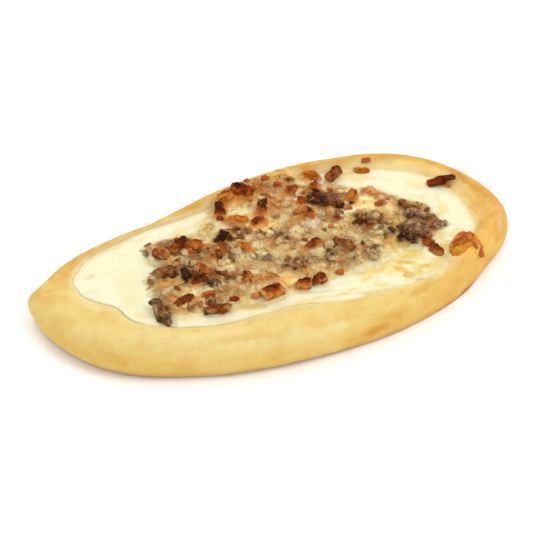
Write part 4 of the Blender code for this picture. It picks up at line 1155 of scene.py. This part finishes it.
def build_island(mat, ground):
    rim = land_all(np.array(ISLAND, float), ground, 17.0)[:, :2]
    low, high = rim.min(0) - 3, rim.max(0) + 3
    spacing = 0.35
    nx, ny = int((high[0] - low[0]) / spacing) + 1, int((high[1] - low[1]) / spacing) + 1
    gx, gy = np.meshgrid(low[0] + spacing * np.arange(nx), low[1] + spacing * np.arange(ny), indexing="ij")
    xy = np.column_stack([gx.ravel(), gy.ravel()])
    base = ground.at(xy)
    px = pixels(np.column_stack([xy, base + 0.5]))
    shoulder = outline_distance(xy, edge(np.linspace(0, 2 * np.pi, 121)[:-1]))
    depth = np.minimum(outline_distance(xy, rim) + 1.0 * fbm(xy, 4.0, 3, 401), 1.5 * (shoulder - 0.9) + 0.4 * noise(xy, 3.0, 411))
    colour = np.broadcast_to(rgb(226, 146, 28), (len(xy), 3)).copy()
    for cx, cy, rx, ry, turn, key, much in ISLAND_PATCHES:
        a = math.radians(turn)
        dx, dy = px[:, 0] - cx, px[:, 1] - cy
        u = (dx * math.cos(a) + dy * math.sin(a)) / rx
        w = (-dx * math.sin(a) + dy * math.cos(a)) / ry
        t = 1 - step(np.hypot(u, w) + 0.3 * noise(xy, 2.0, 403 + int(cx)), 0.3, 1.2)
        colour = mix(colour, CHEESE[key], much * t)
    colour = mix(colour, CHEESE["toast"], 0.55 * step(fbm(xy, 2.4, 3, 409), 0.15, 0.6) * step(depth, 0.3, 1.5))
    colour = mix(colour, rgb(240, 182, 80), 0.55 * (1 - step(depth, -0.2, 0.9)))
    film = step(depth, -0.5, 1.2)
    full = step(depth, 0.0, 3.5)
    top = base + 0.08 + full * (1.05 + 1.0 * fbm(xy, 2.2, 3, 405)) + 0.14 * noise(xy, 1.0, 407)
    top = np.where(film < 1, base - 0.5 + (top - base + 0.5) * film, top)
    obj = sheet("cheese_island", xy, top, base - 1.0, ((depth > -0.9) & (base > 16.5)).reshape(nx, ny), colour)
    obj.data.materials.append(mat)
    return obj


def dense_copy(node, cuts, rounds):
    """A finer copy of a CAD node's mesh, its corners rounded."""
    import bmesh

    bm = bmesh.new()
    bm.from_mesh(node.data)
    bmesh.ops.remove_doubles(bm, verts=bm.verts, dist=1e-6)
    bmesh.ops.subdivide_edges(bm, edges=bm.edges, cuts=cuts, use_grid_fill=True)
    bmesh.ops.triangulate(bm, faces=bm.faces)
    for _ in range(rounds):
        bmesh.ops.smooth_vert(bm, verts=bm.verts, factor=0.5, use_axis_x=True, use_axis_y=True, use_axis_z=True)
    bm.verts.ensure_lookup_table()
    v = np.array([x.co for x in bm.verts]) / MM
    bm.normal_update()
    nor = np.array([x.normal for x in bm.verts])
    f = np.array([[x.index for x in face.verts] for face in bm.faces])
    bm.free()
    return v, nor, f


# How browned each piece of bacon is, from 0, pale orange, to 1, nearly black.
BACON_TONE = {
    1: 0.52, 2: 0.66, 3: 0.90, 4: 0.88, 5: 0.54, 6: 0.54, 7: 0.38, 8: 0.62, 9: 0.66, 10: 0.93, 11: 0.10, 12: 0.36,
    13: 0.30, 14: 0.45, 15: 0.36, 16: 0.45, 17: 0.80, 18: 0.58, 19: 1.0, 20: 0.56, 21: 0.70, 22: 0.72, 23: 0.56,
    24: 0.54, 25: 0.58, 26: 0.76, 27: 0.42, 28: 0.42, 29: 0.80, 30: 0.0, 31: 0.40, 32: 0.52, 33: 0.58, 34: 0.40, 35: 1.0,
}
# Where the darkest browning of a piece is, along, across and up, where it is not on its top.
BACON_SPOT = {
    1: (0.0, -0.9, -0.2), 8: (-0.7, -0.6, 0.2), 9: (0.0, 0.6, 0.9), 14: (-0.2, 0.3, 0.9), 16: (0.0, 0.6, 0.9), 17: (-0.5, 0.2, 0.6),
    21: (-0.9, 0.2, 0.5), 22: (0.5, 0.2, 0.9), 28: (0.0, -0.8, -0.1), 29: (0.6, 0.5, 0.7), 3: (0.3, 0.5, 0.9), 18: (0.0, 0.6, 0.9),
    27: (3.0, 0.0, 0.0), 11: (3.0, 0.0, 0.0), 12: (2.0, 0.0, 0.0), 15: (0.2, 0.9, 0.8), 30: (2.0, 0.0, 0.0), 31: (2.0, 0.0, 0.0),
}
# How deep a piece sits in the melted layer, as a share of its height, where it is not the usual share.
HOLD = {}


# How far a piece is rounded toward an egg shape, where it is not the usual share.
PLUMP = {
    1: 0.85, 2: 0.85, 3: 0.4, 4: 0.3, 7: 0.1, 9: 0.6, 10: 0.1, 13: 0.5, 14: 0.2, 16: 0.7, 17: 0.2, 19: 0.1, 20: 0.1, 23: 0.5,
    24: 0.5, 25: 0.6, 26: 0.5, 27: 0.7, 28: 0.4, 31: 0.5, 33: 0.2, 35: 0.0,
}


# Pieces that lie flat and thin: the share of the height that is left.
FLAT = {27: 0.40, 31: 0.5, 35: 0.5, 15: 0.8, 5: 0.9, 30: 0.55, 11: 0.7, 34: 0.65}
# Pieces with a hue of their own.
BACON_HUE = {
    30: (208, 148, 100, 0.55), 11: (208, 146, 84, 0.55), 27: (192, 98, 10, 0.85), 31: (196, 104, 10, 0.85), 2: (142, 64, 22, 0.55),
    34: (204, 102, 20, 0.70), 35: (126, 44, 8, 0.60), 23: (156, 66, 18, 0.40), 25: (150, 60, 10, 0.40), 4: (112, 50, 8, 0.40), 5: (134, 84, 34, 0.35),
    29: (164, 84, 24, 0.35), 1: (150, 80, 30, 0.3), 32: (168, 80, 28, 0.45), 33: (146, 76, 30, 0.45),
}
# Pieces that lie turned a little from their row, in degrees.
TURN = {35: -15}
# Pieces that are slimmer than the usual: what is left of the length and of the width.
SHAPE = {35: (0.84, 0.94), 2: (0.92, 0.92), 29: (0.95, 0.85)}


def bacon_look(node, number, tone, spot, mat, ground, bed):
    """spot: where along, across and up the darkest browning sits, each from -1 to 1."""
    v, nor, f = dense_copy(node, 5, 6)
    c, basis, half = node_frame(node)
    q = v + number * 31.7
    local = (v - c) @ basis.T / half
    round_off = local / np.maximum(np.linalg.norm(local, axis=1, keepdims=True), 1e-6) * 1.10
    plump = PLUMP.get(number, 0.30)
    local = local * 1.10 * (1 - plump) + round_off * 1.04 * plump
    local[:, :2] *= SHAPE.get(number, (1.0, 1.0))
    rng = np.random.default_rng(100 + number)
    for _ in range(0 if number == 35 else 5):  # slanting cuts
        n = rng.normal(size=3) * (1, 1, 0.8)
        n[2] = abs(n[2])
        n /= np.linalg.norm(n)
        over = np.clip(local @ n - rng.uniform(0.70, 1.05), 0, None)
        local = local - 0.8 * over[:, None] * n
    squash = FLAT.get(number, 1.0)
    local[:, 2] = (local[:, 2] + 1) * squash - 1
    warp = np.column_stack([noise(q, 4.5, 231), noise(q, 4.5, 233), 0.6 * noise(q, 4.5, 235)]) * 0.75
    shift = 0.62 * fbm(q, 2.4, 3, 201) + 0.34 * fbm(q, 1.1, 2, 203)
    offset = (local * half) @ basis
    a = math.radians(TURN.get(number, 0))
    offset = offset @ np.array([[math.cos(a), math.sin(a), 0], [-math.sin(a), math.cos(a), 0], [0, 0, 1]])
    v = c + offset + warp + nor * (shift + 0.05)[:, None]
    pale, orange, red, dark = rgb(240, 180, 88), rgb(208, 116, 30), rgb(150, 60, 14), rgb(66, 22, 8)
    n1, n2 = fbm(q, 3.2, 3, 205), fbm(q, 1.2, 3, 209)
    stripe = np.sin(local[:, 1] * 2.2 + 1.6 * noise(q, 3.0, 207) + number * 1.9)
    way = np.linalg.norm(local - np.array(spot), axis=1)
    burnt = 1 - step(way + 0.35 * n1, 0.35, 1.25)
    t = np.clip(tone - 0.06 + 0.30 * n1 + 0.20 * n2 + 0.08 * stripe + 0.36 * burnt, 0, 1)
    colour = mix(pale, orange, step(t, 0.02, 0.32))
    colour = mix(colour, red, step(t, 0.30, 0.62))
    colour = mix(colour, dark, step(t, 0.62, 1.0))
    rim = np.abs(local[:, :2]).max(1)
    colour = mix(colour, red * 0.8, 0.35 * step(rim + 0.2 * n2, 0.75, 1.0) * step(local[:, 2], -0.3, 0.5))
    # paler fat, and golden glints on its sides: painted highlights where melted cheese coats them
    fair = 1 - 0.9 * float(step(np.array(tone), 0.6, 0.9))
    colour = mix(colour, rgb(228, 146, 80), 0.45 * fair * step(-n1 + 0.3 * n2, 0.38, 0.75) * (1 - burnt))
    colour = mix(colour, rgb(248, 190, 92), 0.50 * fair * step(n2 - 0.3 * n1, 0.42, 0.72) * (1 - 0.7 * burnt))
    # melted cheese laps over its foot
    above = v[:, 2] - ground.at(v[:, :2]) + 0.7 * noise(q, 2.4, 211) + 0.3 * noise(q, 0.9, 213) + (0.0 if squash == 1 else 0.9)
    near = bed.at(v[:, :2])
    near = mix(near, rgb(212, 146, 70), 0.8 * step(near[:, 2], 0.20, 0.38))
    colour = mix(colour, CHEESE["gold"], 0.55 * fair * (1 - step(above, 0.5, 2.0)))
    colour = mix(colour, near, 0.75 * (1 - step(above, 0.0, 1.1)))
    # its outline is lost in the melted layer here and there
    outer = (np.abs(local[:, 0]) ** 3 + np.abs(local[:, 1]) ** 3) ** (1 / 3) + 0.45 * noise(q, 2.2, 215)
    colour = mix(colour, mix(near, CHEESE["gold"], 0.30), 0.75 * fair * step(outer, 0.92, 1.30) * (1 - step(local[:, 2], 0.2, 0.9)))
    # and melted cheese is drawn over it in places
    colour = mix(colour, mix(near, rgb(212, 138, 60), 0.70), 0.60 * fair * step(noise(q, 3.2, 217) + 0.35 * n1, 0.34, 0.70) * (1 - burnt))
    if number in BACON_HUE:
        *hue, much = BACON_HUE[number]
        light = colour.mean(1) / colour.mean()
        colour = mix(colour, rgb(*hue) * np.clip(light, 0.3, 2.0)[:, None] ** 0.8, much)
    obj = make_object(f"{node.name}_look", v, f, colour)
    obj.data.materials.append(mat)
    return obj


# What each piece of mushroom shows.
MUSHROOM_KIND = {
    1: "gills", 2: "warm", 3: "black", 4: "dark", 5: "black", 6: "grey", 7: "slice", 8: "warm", 9: "black", 10: "russet",
    11: "slice", 12: "brown", 13: "dark", 14: "grey", 15: "brown", 16: "grey", 17: "grey",
}

MUSHROOM_SIZE = {1: 1.1, 3: 1.25, 5: 1.35, 9: 1.08, 10: 0.92}


def mushroom_look(node, number, kind, mat, ground, bed):
    v, nor, f = dense_copy(node, 5, 4)
    c, basis, half = node_frame(node)
    q = v + number * 17.3
    local = (v - c) @ basis.T / half
    rng = np.random.default_rng(200 + number)
    for _ in range(6):  # torn sides
        n = rng.normal(size=3) * (1, 1, 0.5)
        n[2] = abs(n[2])
        n /= np.linalg.norm(n)
        over = np.clip(local @ n - rng.uniform(0.55, 1.0), 0, None)
        local = local - 0.85 * over[:, None] * n
    v = c + (local * half) @ basis
    warp = np.column_stack([noise(q, 4.0, 241), noise(q, 4.0, 243), 0.6 * noise(q, 4.0, 245)]) * 0.9
    wave = 0.62 * fbm(q, 2.2, 3, 221) + 0.30 * fbm(q, 0.9, 2, 223)
    ridge = 1 - np.abs(noise(q, 2.6, 247))
    gill = np.sin(local[:, 0] * 11 + 2.4 * noise(q, 2.2, 225))
    lift = 0.30 * (ridge - 0.6) + (0.14 * gill if kind in ("grey", "gills") else 0)
    v = c + (v - c) * 1.06 * MUSHROOM_SIZE.get(number, 1.0) + warp + nor * (wave + lift)[:, None]
    pal = {
        "dark": (rgb(66, 32, 18), rgb(24, 10, 6), rgb(136, 84, 48)),
        "brown": (rgb(136, 74, 34), rgb(58, 26, 12), rgb(190, 130, 70)),
        "warm": (rgb(142, 80, 36), rgb(88, 40, 18), rgb(180, 118, 58)),
        "russet": (rgb(96, 42, 16), rgb(38, 12, 6), rgb(152, 86, 40)),
        "black": (rgb(50, 18, 8), rgb(16, 5, 3), rgb(104, 54, 24)),
        "grey": (rgb(160, 116, 82), rgb(66, 38, 28), rgb(222, 186, 140)),
        "gills": (rgb(132, 92, 52), rgb(62, 36, 20), rgb(178, 136, 84)),
        "slice": (rgb(202, 166, 118), rgb(96, 60, 38), rgb(230, 204, 150)),
    }[kind]
    lap = {"dark": 0.5, "russet": 0.5, "black": 0.15, "gills": 0.3}.get(kind, 1.0)
    n1, n2 = fbm(q, 2.0, 3, 227), fbm(q, 5.0, 2, 229)
    rim = np.clip(np.hypot(local[:, 0] * 0.75, local[:, 1]) + 0.3 * n2, 0, 1.4)
    colour = mix(pal[0], pal[2], step(n1, -0.05, 0.6) * 0.85)
    colour = mix(colour, pal[1], np.clip(step(rim, 0.62, 0.95) * 0.8 + step(-n1, 0.1, 0.6) * 0.6, 0, 1))
    colour = mix(colour, pal[1], 0.6 * step(-local[:, 2], 0.0, 0.8))
    if kind in ("grey", "gills"):
        colour = mix(colour, pal[1], 0.55 * step(-gill, 0.2, 0.9))
    fine = fbm(q, 0.9, 2, 233)
    # pale specks, painted highlights
    colour = mix(colour, mix(pal[2], rgb(226, 186, 126), 0.5), 0.5 * lap * step(fine, 0.30, 0.62))
    colour = mix(colour, pal[1], 0.55 * step(-fine, 0.22, 0.55))
    above = v[:, 2] - ground.at(v[:, :2]) + 0.7 * noise(q, 2.2, 211) + 0.3 * noise(q, 0.9, 213)
    near = bed.at(v[:, :2])
    colour = mix(colour, near, 0.75 * lap * (1 - step(above, 0.0, 1.3)))
    outer = (np.abs(local[:, 0]) ** 3 + np.abs(local[:, 1]) ** 3) ** (1 / 3) + 0.5 * noise(q, 2.0, 237)
    colour = mix(colour, near, 0.5 * lap * step(outer, 0.95, 1.3) * (1 - step(local[:, 2], 0.3, 0.9)))
    # melted cheese drawn over it in places
    colour = mix(colour, near, (0.1 if lap < 1 else 0.5) * step(noise(q, 3.4, 235) + 0.4 * n1, 0.40, 0.75))
    obj = make_object(f"{node.name}_look", v, f, colour)
    obj.data.materials.append(mat)
    return obj


# ---- small bits --------------------------------------------------------------------------------------------
def unit_ball(level):
    import bmesh

    bm = bmesh.new()
    bmesh.ops.create_icosphere(bm, subdivisions=level, radius=1.0)
    v = np.array([x.co for x in bm.verts])
    f = np.array([[x.index for x in face.verts] for face in bm.faces])
    bm.free()
    return v, f


def slope_basis(ground, xy, yaw, tilt):
    h = 0.8
    sx = (ground.at(xy + [h, 0]) - ground.at(xy - [h, 0])) / (2 * h)
    sy = (ground.at(xy + [0, h]) - ground.at(xy - [0, h])) / (2 * h)
    up = np.column_stack([-np.clip(sx, -1, 1) + tilt[:, 0], -np.clip(sy, -1, 1) + tilt[:, 1], np.ones(len(xy))])
    up /= np.linalg.norm(up, axis=1, keepdims=True)
    a = np.column_stack([np.cos(yaw), np.sin(yaw), np.zeros(len(xy))])
    a -= (a * up).sum(1)[:, None] * up
    a /= np.linalg.norm(a, axis=1, keepdims=True)
    return a, np.cross(up, a), up


def build_bits(name, mat, ground, bed, centres, size, yaw, tilt, colours, seed, level=2, rough=0.3, sink=0.35, dark=None, boxy=0.0, lap=0.6, tint=0.0):
    """Many small lumps as one mesh. size holds the three half sizes of each."""
    ball, tri = unit_ball(level)
    n, k = len(centres), len(ball)
    if boxy:
        cube = ball / np.abs(ball).max(1, keepdims=True)
        ball = ball * (1 - boxy) + cube * boxy * 0.85
    a, b, up = slope_basis(ground, centres, yaw, tilt)
    key = (ball[None] * 1.7 + (np.arange(n) * 13.7)[:, None, None]).reshape(-1, 3)
    swell = 1 + rough * 0.9 * fbm(key, 1.6, 2, seed) + rough * 0.6 * fbm(key, 0.7, 2, seed + 3)
    local = ball[None] * swell.reshape(n, k, 1) * size[:, None, :]
    z = ground.at(centres) + size[:, 2] * (1 - 2 * sink)
    p = np.column_stack([centres, z])[:, None] + local[..., :1] * a[:, None] + local[..., 1:2] * b[:, None] + local[..., 2:] * up[:, None]
    verts = p.reshape(-1, 3)
    faces = (tri[None] + (np.arange(n) * k)[:, None, None]).reshape(-1, 3)
    tone = fbm(key, 1.3, 2, seed + 5)
    colour = np.repeat(colours, k, 0)
    colour = mix(colour, colour * 0.45 if dark is None else dark, 0.55 * step(-tone, 0.0, 0.7))
    colour = mix(colour, np.clip(colour * 1.5 + 0.03, 0, 1), 0.45 * step(tone, 0.1, 0.8))
    above = verts[:, 2] - ground.at(verts[:, :2]) + 0.25 * noise(verts, 2.0, 211)
    near = bed.at(verts[:, :2])
    if boxy:
        near = mix(near, rgb(212, 146, 70), 0.8 * step(near[:, 2], 0.20, 0.38))
    colour = mix(colour, near, tint)
    colour = mix(colour, near, lap * (1 - step(above, 0.0, 0.9)))
    obj = make_object(name, verts, faces, colour)
    obj.data.materials.append(mat)
    return obj


def scatter(rng, zones, ground):
    """zones: (cx, cy, rx, ry, turn, count) in the photograph's frame. Returns points and their zone."""
    px, which = [], []
    for z, (cx, cy, rx, ry, turn, count) in enumerate(zones):
        r = np.sqrt(rng.random(count))
        t = rng.random(count) * 2 * np.pi
        u, w = r * np.cos(t) * rx, r * np.sin(t) * ry
        a = math.radians(turn)
        px.append(np.column_stack([cx + u * math.cos(a) - w * math.sin(a), cy + u * math.sin(a) + w * math.cos(a)]))
        which += [z] * count
    at, which = land_all(np.concatenate(px), ground, 19.0)[:, :2], np.array(which)
    fits = ground.at(at) > 16.0
    return at[fits], which[fits]


# Where chopped mushroom shows: place in the photograph's frame, count, and how dark.
MUSHROOM_ZONES = (
    (146, 250, 6, 5, 0, 12, "grey"), (175, 251, 6, 6, 0, 10, "brown"), (182, 260, 5, 4, 0, 6, "brown"), (196, 272, 10, 6, 0, 12, "brown"),
    (186, 272, 5, 7, 0, 8, "dark"), (200, 279, 9, 4, 0, 8, "dark"), (213, 282, 7, 5, 20, 8, "dark"), (163, 272, 13, 4, -12, 10, "brown"),
    (152, 284, 5, 6, 0, 6, "grey"), (158, 305, 7, 7, 30, 12, "brown"), (172, 318, 8, 4, 10, 8, "dark"), (186, 309, 7, 4, 0, 5, "grey"),
    (198, 306, 10, 5, 0, 6, "grey"), (212, 300, 7, 4, 0, 5, "brown"), (208, 311, 5, 3, 0, 4, "dark"), (222, 240, 7, 5, 0, 6, "dark"),
    (233, 229, 4, 6, 30, 5, "brown"), (241, 235, 9, 6, -20, 14, "brown"), (250, 232, 6, 4, 0, 6, "grey"), (232, 247, 8, 5, 0, 8, "grey"),
    (270, 234, 8, 5, 0, 4, "grey"), (281, 236, 8, 2.5, 22, 6, "dark"), (217, 254, 8, 4, 0, 7, "brown"), (268, 260, 6, 4, 0, 6, "purple"),
    (284, 262, 6, 4, 0, 6, "brown"), (300, 262, 14, 5, -6, 12, "brown"), (318, 200, 12, 6, 15, 20, "dark"), (335, 201, 9, 6, 0, 9, "brown"),
    (314, 192, 5, 4, 0, 6, "dark"), (348, 203, 7, 4, 0, 5, "brown"), (361, 220, 7, 5, 0, 12, "dark"), (371, 227, 6, 4, 0, 8, "red"),
    (378, 218, 8, 4, 10, 10, "brown"), (389, 232, 5, 6, 0, 8, "dark"), (383, 226, 6, 4, 0, 5, "grey"), (379, 204, 6, 3, 0, 5, "red"),
    (404, 204, 7, 4, 20, 8, "brown"), (416, 205, 8, 3, 5, 8, "brown"), (418, 213, 14, 5, 5, 18, "brown"), (415, 226, 16, 6, 5, 22, "grey"),
    (409, 234, 13, 5, 15, 16, "dark"), (439, 225, 8, 4, -15, 9, "grey"), (430, 232, 7, 4, 10, 6, "purple"), (344, 244, 12, 7, 15, 10, "brown"),
    (331, 254, 8, 4, 15, 8, "dark"), (345, 259, 15, 3, 5, 6, "grey"), (377, 252, 4, 8, 0, 6, "brown"), (367, 243, 6, 3, 10, 5, "dark"),
    (258, 240, 20, 10, 0, 10, "grey"), (300, 230, 30, 20, 0, 14, "brown"), (240, 270, 30, 14, -10, 12, "brown"), (391, 199, 5, 2.5, 0, 3, "brown"),
    (268, 190, 18, 6, -10, 6, "brown"), (318, 199, 14, 5, 10, 16, "dark"), (362, 221, 9, 6, 0, 12, "dark"), (172, 250, 12, 7, 0, 10, "brown"),
    (166, 306, 12, 9, 20, 7, "brown"), (222, 278, 16, 8, 0, 12, "brown"), (165, 275, 12, 4, -12, 8, "dark"), (205, 283, 10, 5, 10, 8, "dark"), (190, 247, 24, 8, -5, 10, "brown"), (330, 218, 14, 6, 0, 8, "brown"),
)
# Where pale lumps of cheese and onion show.
CHEESE_ZONES = (
    (180, 282, 30, 26, 0, 50), (205, 258, 24, 14, 0, 36), (245, 250, 26, 18, 0, 48), (285, 240, 26, 20, 0, 46), (325, 230, 26, 16, 0, 40),
    (365, 225, 28, 16, 0, 30), (395, 220, 22, 14, 0, 22), (345, 255, 26, 10, 0, 18), (240, 285, 30, 12, -8, 22), (185, 303, 24, 10, 0, 20),
    (300, 205, 20, 16, 0, 24), (270, 205, 16, 12, 0, 12), (225, 190, 10, 5, -10, 4), (255, 183, 20, 5, -12, 10), (310, 265, 24, 6, -8, 12),
)
EXTRA_BACON = (
    # x, y in the photograph's frame, half length and half width in millimetres, turn, tone
    (209, 294.5, 3.2, 1.7, 5, 0.45), (234, 299.5, 2.8, 1.5, 8, 0.75), (257, 296, 3.0, 1.8, 8, 0.2), (264.5, 178.5, 2.4, 1.6, 40, 0.45),
    (278, 185, 2.4, 1.8, -20, 0.6), (220, 219, 1.9, 1.3, 0, 0.7), (178, 289, 2.2, 1.3, -50, 0.6), (340, 272.5, 2.0, 1.5, 0, 0.35),
    (366, 160.5, 2.4, 1.3, 10, 0.4), (348, 208, 2.4, 1.2, 15, 0.3), (378, 205, 1.7, 1.4, 0, 0.55), (481, 251, 3.4, 1.3, -55, 0.3),
    (475, 245, 2.0, 1.3, -30, 0.35), (443, 185, 4.2, 1.6, -14, 0.2), (255, 188, 1.6, 1.2, 0, 0.45), (246, 181, 1.5, 1.1, 30, 0.5),
    (288, 180, 1.3, 1.0, 0, 0.8), (303, 193, 1.6, 1.2, 0, 0.5), (296, 213, 1.6, 1.2, 20, 0.4), (330, 190, 1.5, 1.2, 0, 0.4),
    (222, 247, 1.6, 1.2, 0, 0.5), (196, 248, 1.5, 1.2, 0, 0.3), (190, 251, 1.6, 1.1, 0, 0.35), (177, 240, 1.5, 1.1, 0, 0.4),
    (150, 281, 1.4, 1.0, 0, 0.4), (312, 217, 1.4, 1.1, 0, 0.5), (331, 227, 1.6, 1.1, 20, 0.35), (341, 219, 1.6, 1.1, 0, 0.45),
    (268, 197, 1.4, 1.1, 0, 0.45), (250, 200, 1.3, 1.0, 0, 0.35), (330, 176, 1.2, 0.9, 0, 0.5), (427, 236, 1.2, 0.9, 0, 0.45),
)
TONES = {
    "dark": (70, 32, 14), "brown": (132, 70, 30), "grey": (156, 110, 70), "purple": (138, 98, 84), "red": (156, 68, 22),
}


def build_small(mats, ground, bed):
    rng = np.random.default_rng(7)
    out = []
    # chopped mushroom
    zones = [(*z[:5], max(3, int(0.62 * z[5]))) for z in MUSHROOM_ZONES]
    at, which = scatter(rng, zones, ground)
    n = len(at)
    long = rng.uniform(0.8, 2.3, n)
    size = np.column_stack([long, long * rng.uniform(0.35, 0.8, n), long * rng.uniform(0.25, 0.45, n)])
    tones = np.array([rgb(*TONES[MUSHROOM_ZONES[w][6]]) for w in which]) * rng.uniform(0.5, 1.3, n)[:, None]
    out.append(build_bits("mushroom_bits", mats["mushroom"], ground, bed, at, size, rng.uniform(0, 6.3, n), rng.normal(0, 0.3, (n, 2)), tones, 301, rough=0.75, sink=0.50, level=3, lap=0.70, tint=0.05))
    # pale lumps
    at, which = scatter(rng, [(*z[:5], int(0.5 * z[5])) for z in CHEESE_ZONES], ground)
    n = len(at)
    long = 0.8 + 2.0 * rng.random(n) ** 1.6
    size = np.column_stack([long, long * rng.uniform(0.4, 0.9, n), long * rng.uniform(0.3, 0.55, n)])
    pal = np.array([rgb(232, 204, 140), rgb(246, 226, 172), rgb(222, 168, 92), rgb(214, 146, 92), rgb(216, 184, 120)])
    tones = pal[rng.choice(5, n, p=[0.34, 0.22, 0.18, 0.10, 0.16])]
    # two round lumps that stand out
    special = land_all(np.array([(317.5, 253.5), (328.5, 246.0)]), ground)[:, :2]
    at = np.concatenate([special, at])
    size = np.concatenate([[[4.2, 3.4, 3.0], [2.9, 2.4, 2.2]], size])
    tones = np.concatenate([[rgb(240, 226, 170), rgb(232, 214, 152)], tones])
    yaw = np.concatenate([[0.2, 0.0], rng.uniform(0, 6.3, n)])
    out.append(build_bits("cheese_lumps", mats["cheese"], ground, bed, at, size, yaw, rng.normal(0, 0.2, (n + 2, 2)), tones, 311, rough=0.5, sink=0.56, level=3, dark=rgb(168, 116, 62), lap=0.90, tint=0.50))
    # small bits of bacon
    rows = np.array(EXTRA_BACON, float)
    at = land_all(rows[:, :2], ground)[:, :2]
    size = np.column_stack([rows[:, 2], rows[:, 3], rows[:, 3] * 0.8])
    ramp = np.array([rgb(226, 156, 96), rgb(206, 112, 48), rgb(160, 60, 26), rgb(84, 24, 12)])
    t = rows[:, 5] * 3
    i = np.clip(t.astype(int), 0, 2)
    tones = ramp[i] * (1 - (t - i))[:, None] + ramp[i + 1] * (t - i)[:, None]
    out.append(build_bits("bacon_bits", mats["bacon"], ground, bed, at, size, np.radians(rows[:, 4] + AZIMUTH), rng.normal(0, 0.12, (len(at), 2)), tones, 321, level=3, rough=0.35, sink=0.35, boxy=0.5, lap=0.85))
    # herb flecks
    zones = [(cx, cy, rx, ry, turn, max(6, count // 3)) for cx, cy, rx, ry, turn, count in CHEESE_ZONES] + [(405, 246, 32, 9, -18, 14)]
    at, which = scatter(rng, zones, ground)
    at = at[outline_distance(at, land_all(np.array(HEAP, float), ground, 21.0)[:, :2]) > -7.0]
    n = len(at)
    long = rng.uniform(0.28, 0.62, n)
    size = np.column_stack([long, long * rng.uniform(0.35, 0.8, n), np.full(n, 0.14)])
    pal = np.array([rgb(74, 76, 30), rgb(92, 84, 40), rgb(54, 44, 26), rgb(120, 104, 48)])
    tones = pal[rng.choice(4, n)]
    out.append(build_bits("herb_flecks", mats["herb"], ground, bed, at, size, rng.uniform(0, 6.3, n), rng.normal(0, 0.35, (n, 2)), tones, 331, level=1, rough=0.4, sink=0.1))
    return out


def build_stage(mat):
    size = 4000.0
    v = [(-size, -size, 0), (size, -size, 0), (size, size, 0), (-size, size, 0)]
    floor = make_object("floor", np.array(v, float) + [0, 0, -0.02], [[0, 1, 2, 3]])
    floor.data.materials.append(mat)


def area_light(name, position, target, size, power, colour=(1, 1, 1)):
    data = bpy.data.lights.new(name, "AREA")
    data.shape = "DISK"
    data.size = size
    data.energy = power
    data.color = colour
    obj = bpy.data.objects.new(name, data)
    bpy.context.scene.collection.objects.link(obj)
    obj.location = position
    obj.rotation_euler = (Vector(target) - Vector(position)).to_track_quat("-Z", "Y").to_euler()


def build_light():
    scene = bpy.context.scene
    scene.view_settings.view_transform = "Standard"
    scene.view_settings.look = "None"
    world = bpy.data.worlds.new("studio")
    world.use_nodes = True
    world.node_tree.nodes["Background"].inputs["Color"].default_value = (1, 1, 1, 1)
    world.node_tree.nodes["Background"].inputs["Strength"].default_value = 1.08
    scene.world = world
    area_light("key", (0.70, -0.55, 1.15), (0, 0, 0.02), 0.8, 6.25, (1.0, 0.99, 0.97))
    area_light("back", (-0.35, 0.95, 1.1), (0, 0, 0.02), 0.9, 2.9, (1.0, 0.99, 0.98))


def main():
    build_camera()
    build_light()
    build_stage(floor_material())
    mats = {"crust": crust_material(), "cream": cream_material(), "cheese": cheese_material(), "bacon": bacon_material(), "mushroom": mushroom_material(), "herb": herb_material()}
    bread = build_bread(mats["crust"])
    bread_tree = tree_of(bread)
    cream = build_cream(mats["cream"], bread_tree)
    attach(bread, "root")
    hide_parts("bread")
    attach(cream, "root")
    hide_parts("cream")
    ground = Ground()
    ground.add(bread_tree)
    ground.add(tree_of(cream))
    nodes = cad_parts
    held = []
    for name in sorted(nodes):
        if name.split("_")[0] in ("bacon", "mushroom"):
            held.append((*node_frame(nodes[name]), HOLD.get(name, 0.40 if name[0] == "b" else 0.45), name[0] == "b"))
    cheese, bed = build_cheese(mats["cheese"], ground, tree_of(nodes["melted_cheese"]), held)
    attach(cheese, "root")
    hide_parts("melted_cheese")
    ground.add(tree_of(cheese))
    island = build_island(mats["cheese"], ground)
    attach(island, "root")
    ground.add(tree_of(island))
    for name in sorted(nodes):
        kind, _, number = name.partition("_")
        if kind == "bacon":
            obj = bacon_look(nodes[name], int(number), BACON_TONE.get(int(number), 0.4), BACON_SPOT.get(int(number), (0.1, 0.2, 0.8)), mats["bacon"], ground, bed)
        elif kind == "mushroom":
            obj = mushroom_look(nodes[name], int(number), MUSHROOM_KIND.get(int(number), "brown"), mats["mushroom"], ground, bed)
        else:
            continue
        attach(obj, "root")
        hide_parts(name)
    for obj in build_small(mats, ground, bed):
        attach(obj, "root")


main()
